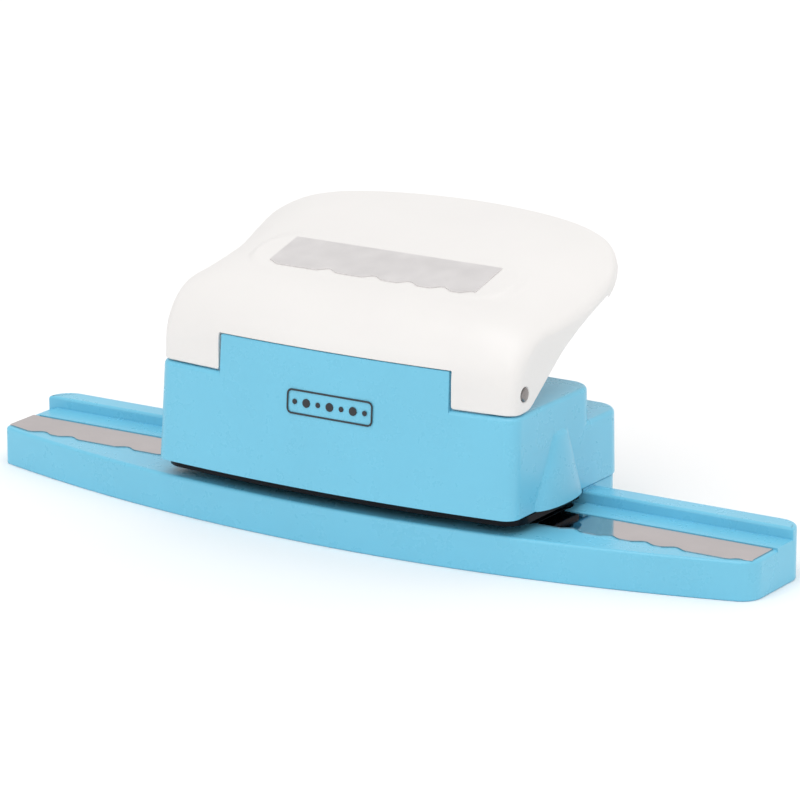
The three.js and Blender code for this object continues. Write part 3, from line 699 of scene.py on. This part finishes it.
# ---- printed mark: a plain frame round a row of dots ----
MARK_CORNER = 1.5
MARK_LINE = 0.45  # width of the frame's line
MARK_THICK = 0.12
MARK_SUNK = 0.02  # how far the mark lies in the wall
MARK_DOTS = 7
MARK_DOT_RADII = (0.7, 1.15)  # in turn
MARK_END = 2.4  # from the frame's end to the middle of the last dot


def mark_outline(half_width, half_height, shrink):
    w, h, r = half_width - shrink, half_height - shrink, MARK_CORNER - shrink
    right = arc(w - r, r - h, r, -90, 0, 8) + arc(w - r, h - r, r, 0, 90, 8)
    return np.array(right + mirrored(right))


def front_mark():
    low, high = node_box("front_badge")
    size = ((high.x - low.x) / 2, (high.z - low.z) / 2 - 0.1)
    inside = prism(mark_outline(*size, MARK_LINE), -MARK_THICK, 2 * MARK_THICK)
    mark = cut(prism(mark_outline(*size, 0), 0, MARK_THICK), inside)
    pitch = 2 * (size[0] - MARK_END) / (MARK_DOTS - 1)
    dots = []
    for i in range(MARK_DOTS):
        dots.append(rod(pitch * (i - (MARK_DOTS - 1) / 2), 0, MARK_DOT_RADII[i % 2], 0, MARK_THICK))
    mark = merged_loose(mark, *dots)
    mark.data.transform(Matrix.Rotation(math.pi / 2 - math.atan(FRONT_DRAFT), 4, "X"))
    wall_y = FRONT + FRONT_DRAFT * (MARK.z - BODY_BOTTOM) - MARK_SUNK
    mark.data.transform(Matrix.Translation(Vector((MARK.x, wall_y, MARK.z)) * MM))
    finished(mark, "front_mark", "base", INK, ["front_badge"])


# ---- die set ----
DIE_CORNER = 3  # front corners of the plates
STRIPPER_CORNER = 6
PLATE_REAR_CORNER = 3
DIE_GAP = 0.1  # round the blade, in the plates
STRIPPER_GAP = 0.15
DIE_HOLE = dict(radius=1.4, below_top=0.4)
SINK = dict(head=2.7, shank=1.5, rim=0.1)  # countersinks of the stripper's screws


def plate_outline(half, front, rear, front_corner):
    """Plan of a plate of the die set, with the housing's bow along its front."""
    return plan(half, front, BOW, front_corner, rear, PLATE_REAR_CORNER)


def blade_outline(grow=0.0):
    half, rear = BLADE_HIGH.x + grow, BLADE_HIGH.y + grow
    return notched_edge(-half, half, BLADE_LOW.y - grow) + [(half, rear), (-half, rear)]


def die_plate():
    low, high = node_box("die_plate")
    plate = prism(plate_outline(high.x, low.y, high.y, DIE_CORNER), low.z, high.z, top=0.15)
    opening = prism(blade_outline(DIE_GAP), 0, PAST)
    holes = rods(DIE_SCREWS, DIE_HOLE["radius"], 0, high.z - DIE_HOLE["below_top"])
    plate = cut(plate, opening, *holes)
    finished(plate, "die_plate_steel", "base", BLACK_STEEL, ["die_plate"])


def stripper_plate():
    low, high = node_box("stripper_plate")
    outline = plate_outline(high.x, low.y, high.y, STRIPPER_CORNER)
    plate = prism(outline, low.z, high.z, top=0.1, bottom=0.2)
    opening = prism(blade_outline(STRIPPER_GAP), 0, PAST)
    posts = rods(POSTS, POST_HOLE, 0, PAST)
    head, shank = SINK["head"], SINK["shank"]
    rim_z = low.z + SINK["rim"]
    sink = [(head, low.z - 1), (head, rim_z), (shank, rim_z + head - shank), (shank, PAST)]
    sinks = [turned(sink, s.x, s.y) for s in STRIPPER_SCREWS]
    plate = cut(plate, opening, *posts, *sinks)
    finished(plate, "stripper_plate_steel", "base", BLACK_STEEL, ["stripper_plate"])


# ---- punch ----
BEAM_TOP = 33
BLADE_SHANK_HOLE = 1.6
BLADE_HEAD_WELL = dict(radius=3.3, bottom=30.4)
BLADE_THREAD = dict(radius=1.5, bottom=20)


def punch_carrier():
    low, high = node_box("punch_carrier")
    beam = box(low.x, high.x, low.y, high.y, low.z, BEAM_TOP, edge=0.5)
    pads = pad_blocks(BEAM_TOP - 1, high.z, edge=0.4)
    guides = rods(POSTS, POST_HOLE, 0, PAST)
    well, floor = BLADE_HEAD_WELL["radius"], BLADE_HEAD_WELL["bottom"]
    stepped = [(BLADE_SHANK_HOLE, low.z - 1), (BLADE_SHANK_HOLE, floor), (well, floor), (well, PAST)]
    screw_holes = [turned(stepped, s.x, s.y) for s in BLADE_SCREWS]
    body = cut(joined(beam, *pads), *guides, *screw_holes)
    finished(body, "punch_carrier_block", "carrier", GREY_PLASTIC, ["punch_carrier"])


def punch_blade():
    blade = prism(blade_outline(), BLADE_LOW.z, BLADE_HIGH.z)
    threads = rods(BLADE_SCREWS, BLADE_THREAD["radius"], BLADE_THREAD["bottom"], PAST)
    blade = cut(blade, *threads)
    finished(blade, "punch_blade_steel", "carrier", BLADE_STEEL, ["punch_blade"])


# ---- screws, posts and springs ----
GROOVE_PITCH = 0.8
GROOVE_DEPTH = 0.22
PAN_HEAD = ((0.55, 0), (0.85, 0.2), (1, 0.6), (1, 1))  # shares of the radius and the height
CROSS_ARM = 0.18  # half width of a cross, as a share of its reach
CAP_SCREW = dict(tip=0.8, shank=1.3, head=2.9, head_height=1.8, edge=0.3, recess=1.3, recess_depth=1.1)
SPRING = dict(wire=0.55, radius=3.9, turns=6.5, closed_turns=0.9, closed_rise=0.605, steps=390, sides=12)


def thread(radius, z0, z1):
    """Turned stand-in for a thread: one groove for each turn."""
    root = radius - GROOVE_DEPTH
    profile = []
    for z in np.arange(z0, z1 - GROOVE_PITCH, GROOVE_PITCH):
        profile += [(root, z), (radius, z + GROOVE_PITCH / 2)]
    return profile + [(root, z1 - GROOVE_PITCH * 0.6), (radius * 0.4, z1)]


def cross_recess(x, y, z, reach, depth):
    """Cutter for the cross in a screw's head, from below."""
    arm = reach * CROSS_ARM
    return [box(x - a, x + a, y - b, y + b, z - 1, z + depth) for a, b in ((reach, arm), (arm, reach))]


def screw(node, head, shank, head_height, sunk=False):
    """Cross-head screw whose head faces down, in the place of a CAD screw."""
    low, high = node_box(node)
    centre = (low + high) / 2
    if sunk:
        profile = [(head, low.z), (shank, low.z + head - shank)]
    else:
        profile = [(head * width, low.z + head_height * rise) for width, rise in PAN_HEAD]
        profile.append((shank, low.z + head_height + 0.02))
    profile += thread(shank, profile[-1][1] + 0.6, high.z)
    solid = turned(profile, centre.x, centre.y)
    solid = cut(solid, *cross_recess(centre.x, centre.y, low.z, head * 0.5, head_height * 0.6))
    finished(solid, f"{node}_cross_head", "base", SCREW_STEEL, [node])


def blade_screw(node):
    """Cap screw whose head faces up, in the carrier."""
    low, high = node_box(node)
    centre = (low + high) / 2
    shank, head, edge = CAP_SCREW["shank"], CAP_SCREW["head"], CAP_SCREW["edge"]
    head_z = high.z - CAP_SCREW["head_height"]
    profile = [(CAP_SCREW["tip"], low.z)] + thread(shank, low.z + 0.3, head_z)[:-2]
    profile += [(shank, head_z - 0.1), (head, head_z), (head, high.z - edge), (head - edge, high.z)]
    solid = turned(profile, centre.x, centre.y)
    hexagon = arc(centre.x, centre.y, CAP_SCREW["recess"], 0, 300, 5)
    solid = cut(solid, prism(hexagon, high.z - CAP_SCREW["recess_depth"], high.z + 1))
    finished(solid, f"{node}_cap_head", "carrier", SCREW_STEEL, [node])


def guide_post(node):
    low, high = node_box(node)
    centre = (low + high) / 2
    post = rod(centre.x, centre.y, POST_RADIUS, low.z, high.z, edge=0.3)
    finished(post, f"{node}_rod", "base", BRIGHT_STEEL, [node])


def wire_ring(centre, angle, z):
    """Section of a spring's wire at an angle round the spring."""
    out = Vector((math.cos(angle), math.sin(angle), 0))
    middle = Vector((centre.x, centre.y, z)) + out * SPRING["radius"]
    ring = []
    for around in np.linspace(0, 2 * math.pi, SPRING["sides"], endpoint=False):
        rise = Vector((0, 0, SPRING["wire"] * math.sin(around)))
        ring.append(middle + out * (SPRING["wire"] * math.cos(around)) + rise)
    return np.array(ring[::-1])


def return_spring(node):
    """Wound wire with a closed turn at each end, made at one fixed length; the real spring shortens as
    the lever goes down.
    """
    low, high = node_box(node)
    centre = (low + high) / 2
    t = np.linspace(0, 1, SPRING["steps"] + 1)
    closed = SPRING["closed_turns"] / SPRING["turns"]
    wound = np.clip((t - closed) / (1 - 2 * closed), 0, 1)
    bottom, top = low.z + SPRING["wire"], high.z - SPRING["wire"]
    closed_rise = SPRING["closed_rise"]
    lift = wound * (top - bottom - 2 * closed_rise)
    lift += closed_rise * (np.clip(t / closed, 0, 1) + np.clip((t - 1 + closed) / closed, 0, 1))
    angles = 2 * math.pi * SPRING["turns"] * t
    coil = loft([wire_ring(centre, angle, z) for angle, z in zip(angles, bottom + lift)])
    coil = finished(coil, f"{node}_coil", "base", SPRING_STEEL, [node], sharp=60)
    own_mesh(coil)


# ---- lever ----
LEVER = dict(half=54.4, front=FRONT + 2.05, front_bow=BOW, front_corner=4, rear=REAR, rear_bow=107,
             rear_corner=18)
LEVER_WALL = 2.4
LEVER_ROOM_FOOT = 30  # where the lever's hollow starts, under its legs
LEG_EDGE = 0.5  # rounding of the lever's lower edge
EDGE = dict(front=15, side=1.4, rear=3.1)  # rounding of its upper edges
SMALLEST_EDGE = 0.6
RIB_INSET = 0.6  # how far inside the outer skin the ribs and fingers end
SKIN_PITCH = 0.6  # between the points of the lever's outer skin
ROOM_PITCH = 1.0  # inside it
RIB_PITCH = 1.5  # where its ribs and fingers end
TOP_LENGTH = 56  # of the lever, between its rounded front and rear edges
NOTCH = dict(gap=0.3, leg_corner=0.9, top_corner=0.4, bottom=41.9, rear=-31.8)  # room for the front wall
LABEL = dict(half=31.3, front=-14.9, rear=-1.9, front_z=67.7, rear_z=70.9, thick=0.25, lobe=1.7)
LABEL_RUN = LABEL["rear"] - LABEL["front"]
LABEL_RISE = LABEL["rear_z"] - LABEL["front_z"]
LABEL_TILT = math.atan2(LABEL_RISE, LABEL_RUN)
LABEL_MIDDLE = Vector((0, (LABEL["front"] + LABEL["rear"]) / 2, (LABEL["front_z"] + LABEL["rear_z"]) / 2))
BOSS = dict(half=39.4, radius=10.3, soft=1.1)
SEAT_DROP = LABEL["thick"] + 0.05  # the label's seat below the label's face
FINGER = dict(y=-12.4, z=49.1, radius=2, half=1.5, root_half=9, root=62, top=75)
LEVER_RIBS_X = (-36, 0, 36)
LEVER_RIB = [(-20, 60), (6, 64), (30, 71.4), (37, 75), (30, 80), (-20, 72)]  # (y, z)
PIN_RING = dict(radius=4, inner=48.6, length=3.8)
PIN_SINK = dict(face=53.8, depth=0.25, beyond=0.6)  # chamfer of the pin's hole at the leg's face
PIN_SHAPE = dict(inner=44.6, chamfer=0.3, shoulder=53.75, dome=0.35)


def smooth(*pairs):
    """A smooth curve through (position, value) pairs, held level beyond its ends."""
    place, value = np.array(pairs, float).T
    slope = np.empty(len(place))
    for i in range(len(place)):
        low, high = max(i - 1, 0), min(i + 1, len(place) - 1)
        slope[i] = (value[high] - value[low]) / (place[high] - place[low])

    def curve(t):
        t = np.clip(t, place[0], place[-1])
        i = np.clip(np.searchsorted(place, t, side="right") - 1, 0, len(place) - 2)
        width = place[i + 1] - place[i]
        s = (t - place[i]) / width
        bend = width * (slope[i] * s * (1 - s) ** 2 - slope[i + 1] * s * s * (1 - s))
        return value[i] + (value[i + 1] - value[i]) * s * s * (3 - 2 * s) + bend

    return curve


# the lever's shape from front to rear, as (y, value) pairs
lever_half = smooth((-18, 53.8), (10, 54.4))
crown_height = smooth((-36, 63.6), (-26, 65.2), (-16, 66.9), (-2, 70.2), (12, 73.9), (24, 75.8),
                      (REAR, 77.2))
crown_drop = smooth((-36, 3), (-18, 6.1), (-6, 8), (2, 9), (8, 8.6), (14.8, 7.2), (20, 6), (REAR, 6))
crown_power = smooth((10, 7), (26, 7.5))
lower_edge = smooth((-29, 41.9), (-25.4, 42.4), (-21.7, 44.8), (-11.9, 52), (-8.5, 54.3), (0.1, 58.7),
                    (10.2, 62.8), (15.8, 64.8), (23, 69), (30, 71.6), (REAR, 73.3))


def bowed_edge(x, half, end, bow, corner):
    """Reach of a bowed end with corner arcs, at each x; the end is the reach in the middle."""
    corner_x = half - corner
    meet = math.sqrt((bow - corner) ** 2 - corner_x ** 2)
    on_bow = np.abs(x) < corner_x * bow / (bow - corner)
    bow_part = np.sqrt(np.maximum(bow ** 2 - x ** 2, 0))
    corner_part = meet + np.sqrt(np.maximum(corner ** 2 - (np.abs(x) - corner_x) ** 2, 0))
    return end - bow + np.where(on_bow, bow_part, corner_part)


def round_off(distance, radius):
    """How far a rounded edge has fallen at a distance from the edge."""
    t = np.clip(1 - distance / radius, 0, 1)
    return radius * (1 - np.sqrt(1 - t * t))


def blended(*drops):
    return np.cbrt(sum(drop ** 3 for drop in drops))


def edge_steps(radius, steps):
    """Distances from an edge that step evenly round its rounding."""
    return radius * (1 - np.cos(np.linspace(0, math.pi / 2, steps + 1)))


def on_seat(x, y, crown):
    """The crown with the label's tilted seat worked into it, with a soft rim round the seat."""
    along = (y - LABEL_MIDDLE.y) / math.cos(LABEL_TILT)
    across = np.maximum(np.abs(x) - (BOSS["half"] - BOSS["radius"]), 0)
    inside = BOSS["radius"] - np.hypot(across, along)
    soft = BOSS["soft"] * (1 + 2 * np.clip(along / BOSS["radius"], 0, 1))
    s = np.clip(0.5 + inside / (2 * soft), 0, 1)
    middle_z = LABEL_MIDDLE.z - SEAT_DROP / math.cos(LABEL_TILT)
    seat = middle_z + (y - LABEL_MIDDLE.y) * math.tan(LABEL_TILT)
    return crown + (seat - crown) * s * s * (3 - 2 * s)


def lever_grid(half, wall, edges, pitch):
    """The lever's plan as a grid, finer round its edges: x, y, and the front and rear at each x."""
    side = half - edge_steps(edges["side"], 12)
    middle = np.linspace(side[-1], -side[-1], round(2 * side[-1] / pitch))
    x = np.concatenate([side, middle[1:-1], -side[::-1]])[::-1, None]
    front_corner = max(LEVER["front_corner"] - wall, 1)
    front = -bowed_edge(x, half, -LEVER["front"] - wall, LEVER["front_bow"] - wall, front_corner)
    rear = bowed_edge(x, half, LEVER["rear"] - wall, LEVER["rear_bow"], LEVER["rear_corner"] - wall)
    from_front = front + edge_steps(edges["front"], 20)
    to_rear = rear - edge_steps(edges["rear"], 10)[::-1]
    gap = rear - front - edges["front"] - edges["rear"]
    share = np.linspace(0, 1, round(TOP_LENGTH / pitch))[1:-1]
    y = np.concatenate([from_front, front + edges["front"] + gap * share, to_rear], axis=1)
    return x, y, front, rear


def between_heights(x, y, low, top):
    """Closed solid between two heights given over one grid of places."""
    columns, rows = y.shape
    vertices = np.concatenate([np.stack([x, y, z], axis=2).reshape(-1, 3) for z in (low, top)])
    upper = columns * rows
    faces = []
    for i in range(columns - 1):
        for j in range(rows - 1):
            a, b = i * rows + j, (i + 1) * rows + j
            faces.append((a, a + 1, b + 1, b))
            faces.append((upper + a, upper + b, upper + b + 1, upper + a + 1))
    rim = [i * rows for i in range(columns)] + [(columns - 1) * rows + j for j in range(1, rows)]
    rim += [i * rows + rows - 1 for i in range(columns - 2, -1, -1)] + list(range(rows - 2, 0, -1))
    for a, b in zip(rim, rim[1:] + rim[:1]):
        faces.append((a, b, upper + b, upper + a))
    return new_object(vertices, faces)


def lever_solid(wall, pitch, bottom=None):
    """The lever's outer block, or with a wall the room inside it: crowned, with rounded edges."""
    half = LEVER["half"] - wall
    edges = {name: max(radius - wall, SMALLEST_EDGE) for name, radius in EDGE.items()}
    plan_x, y, front, rear = lever_grid(half, wall, edges, pitch)
    width = lever_half(y) - wall
    x = plan_x / half * width
    to_edges = [(y - front, "front"), (width - np.abs(x), "side"), (rear - y, "rear")]
    rounding_drop = blended(*(round_off(distance, edges[name]) for distance, name in to_edges))
    crown = crown_height(y) - wall - crown_drop(y) * np.abs(x / (width + wall)) ** crown_power(y)
    if bottom is None:
        top = on_seat(x, y, crown) - rounding_drop
        low = lower_edge(y) + blended(*(round_off(distance, LEG_EDGE) for distance, _ in to_edges))
    else:
        top = crown - rounding_drop
        low = np.full_like(y, bottom)
    return between_heights(x, y, low, top)


def leg_notch():
    """Cutter for the room of the housing's front wall; the legs' lower corners are rounded."""
    half, top, bottom = TAB_HALF + NOTCH["gap"], TAB_TOP + NOTCH["gap"], NOTCH["bottom"]
    radius, top_radius = NOTCH["leg_corner"], NOTCH["top_corner"]
    right = [(half + radius, bottom - 5)] + arc(half + radius, bottom + radius, radius, 270, 180, 6)
    right += arc(half - top_radius, top - top_radius, top_radius, 0, 90, 4)
    outline = np.array([(x, -z) for x, z in right + mirrored(right)][::-1])
    notch = prism(outline, -PAST, NOTCH["rear"])
    notch.data.transform(Matrix(((1, 0, 0, TAB_X * MM), (0, 0, 1, 0), (0, -1, 0, 0), (0, 0, 0, 1))))
    return notch


def lever_inside():
    """Fingers that press the pads, stiffening ribs, and rings round the pins."""
    front, rear = FINGER["y"] - FINGER["root_half"], FINGER["y"] + FINGER["root_half"]
    finger = arc(FINGER["y"], FINGER["z"], FINGER["radius"], 180, 360, 12)
    root, top = FINGER["root"], FINGER["top"]
    finger += [(rear, root), (rear, top), (front, top), (front, root)]
    pieces = [side_prism(finger, x - FINGER["half"], x + FINGER["half"]) for x in FINGERS_X]
    pieces += [side_prism(LEVER_RIB, x - RIB_HALF, x + RIB_HALF) for x in LEVER_RIBS_X]
    kept = []
    for piece in pieces:
        inside_skin = lever_solid(RIB_INSET, RIB_PITCH, LEVER_ROOM_FOOT)
        kept.append(combined(piece, [inside_skin], "INTERSECT"))
    radius, inner, length = PIN_RING["radius"], PIN_RING["inner"], PIN_RING["length"]
    for x in (inner, -inner - length):
        kept.append(cross_rod([(radius, x), (radius, x + length)], PIN.y, PIN.z))
    return kept


def pin_holes():
    """Cutter for the holes in both legs, chamfered where they come out."""
    face, depth, beyond = PIN_SINK["face"], PIN_SINK["depth"], PIN_SINK["beyond"]
    right = [(PIN_HOLE, face - depth), (PIN_HOLE + beyond + depth, face + beyond)]
    return cross_rod([(r, -x) for r, x in reversed(right)] + right, PIN.y, PIN.z)


def lever():
    shell = cut(lever_solid(0, SKIN_PITCH), lever_solid(LEVER_WALL, ROOM_PITCH, LEVER_ROOM_FOOT))
    shell = cut(joined(shell, *lever_inside()), leg_notch(), pin_holes())
    finished(shell, "lever_shell", "lever", WHITE, ["lever"])


def lever_label():
    half, rear = LABEL["half"], math.hypot(LABEL_RISE, LABEL_RUN) / 2
    outline = notched_edge(-half, half, -rear - LABEL["lobe"]) + [(half, rear), (-half, rear)]
    label = prism(outline, -LABEL["thick"], 0)
    label.data.transform(Matrix.Translation(LABEL_MIDDLE * MM) @ Matrix.Rotation(LABEL_TILT, 4, "X"))
    finished(label, "lever_label_foil", "lever", LABEL_FOIL, ["lever_label"])


def hinge_pin(side):
    name = f"hinge_pin_{side}"
    inner, chamfer = PIN_SHAPE["inner"], PIN_SHAPE["chamfer"]
    profile = [(PIN_RADIUS - chamfer, inner), (PIN_RADIUS, inner + chamfer)]
    for angle in np.linspace(0.1, 1.5, 8):
        out = PIN_SHAPE["shoulder"] + PIN_SHAPE["dome"] * math.sin(angle)
        profile.append((PIN_RADIUS * math.cos(angle), out))
    if side == "left":
        profile = [(r, -x) for r, x in reversed(profile)]
    pin = cross_rod(profile, PIN.y, PIN.z)
    finished(pin, f"{name}_dome", "base", BRIGHT_STEEL, [name])


# ---- camera, lights and floor ----
CAMERA_PLACE = Vector((699.36, -1116.12, 405.77)) * MM
CAMERA_LENS = 235.8
CAMERA_AZIMUTH = math.radians(32.1)
CAMERA_ELEVATION = math.radians(15.9)
ROOM_LIGHT = 0.72
ROOM_SLOPE = (0.1, 0.2, 0.05)  # the room's light grows to the right, to the back and upwards
WINDOW_FROM = Vector((0.15, -0.45, 1))
FLOOR_REACH = 12  # metres


def placed(name, data):
    """A new object in the scene, turned by a quaternion."""
    obj = bpy.data.objects.new(name, data)
    bpy.context.scene.collection.objects.link(obj)
    obj.rotation_mode = "QUATERNION"
    return obj


def camera():
    data = bpy.data.cameras.new("camera")
    data.sensor_width = 36
    data.lens = CAMERA_LENS
    data.clip_start = 0.1
    data.clip_end = 20
    obj = placed("camera", data)
    obj.location = CAMERA_PLACE
    level = math.cos(CAMERA_ELEVATION)
    back = Vector((math.sin(CAMERA_AZIMUTH) * level, -math.cos(CAMERA_AZIMUTH) * level,
                   math.sin(CAMERA_ELEVATION)))
    obj.rotation_quaternion = back.to_track_quat("Z", "Y")
    bpy.context.scene.camera = obj


def room_light():
    """Even light from all round that grows a little in one direction."""
    world = bpy.data.worlds.new("studio")
    bpy.context.scene.world = world
    world.use_nodes = True
    nodes, links = world.node_tree.nodes, world.node_tree.links
    direction = nodes.new("ShaderNodeTexCoord")
    slope = nodes.new("ShaderNodeVectorMath")
    slope.operation = "DOT_PRODUCT"
    slope.inputs[1].default_value = ROOM_SLOPE
    level = nodes.new("ShaderNodeMath")
    level.operation = "ADD"
    level.inputs[1].default_value = ROOM_LIGHT
    links.new(direction.outputs["Generated"], slope.inputs[0])
    links.new(slope.outputs["Value"], level.inputs[0])
    links.new(level.outputs["Value"], nodes["Background"].inputs["Strength"])
    nodes["Background"].inputs["Color"].default_value = (1, 0.99, 0.985, 1)


def window():
    """Wide soft light from above."""
    data = bpy.data.lights.new("window", "SUN")
    data.energy = 1.1
    data.angle = math.radians(60)
    placed("window", data).rotation_quaternion = WINDOW_FROM.to_track_quat("Z", "Y")


def softbox(name, place, size, power):
    """Round lamp that faces the object; its place and size are in metres."""
    data = bpy.data.lights.new(name, "AREA")
    data.shape = "DISK"
    data.size = size
    data.energy = power
    light = placed(name, data)
    light.location = place
    light.rotation_quaternion = Vector(place).to_track_quat("Z", "Y")


def table():
    mesh = bpy.data.meshes.new("floor")
    corners = [(-1, -1), (1, -1), (1, 1), (-1, 1)]
    mesh.from_pydata([(x * FLOOR_REACH, y * FLOOR_REACH, 0) for x, y in corners], [], [(0, 1, 2, 3)])
    material, _, _, shader = shader_tree("floor")
    shader.inputs["Base Color"].default_value = (0.97, 0.97, 0.97, 1)
    shader.inputs["Roughness"].default_value = 0.9
    mesh.materials.append(material)
    placed("floor", mesh)


# ---- the scene ----
camera()
room_light()
window()
softbox("front", (-0.7, -1.6, 0.8), 1.0, 3)
softbox("overhead", (-0.1, -0.3, 1.5), 0.5, 0.5)
table()
bpy.context.scene.view_settings.view_transform = "Standard"

guide_base()
housing()
front_mark()
die_plate()
stripper_plate()
punch_carrier()
punch_blade()
for i in (1, 2, 3):
    screw(f"housing_screw_{i}", head=3.1, shank=1.35, head_height=2.1)
for i in (1, 2, 3, 4):
    screw(f"die_screw_{i}", head=2.6, shank=1.2, head_height=1.6)
    screw(f"stripper_screw_{i}", head=2.3, shank=1.15, head_height=1.2, sunk=True)
for i in (1, 2):
    blade_screw(f"blade_screw_{i}")
for side in ("left", "right"):
    pattern_strip(side)
    guide_post(f"guide_post_{side}")
    return_spring(f"return_spring_{side}")
    hinge_pin(side)
lever()
lever_label()
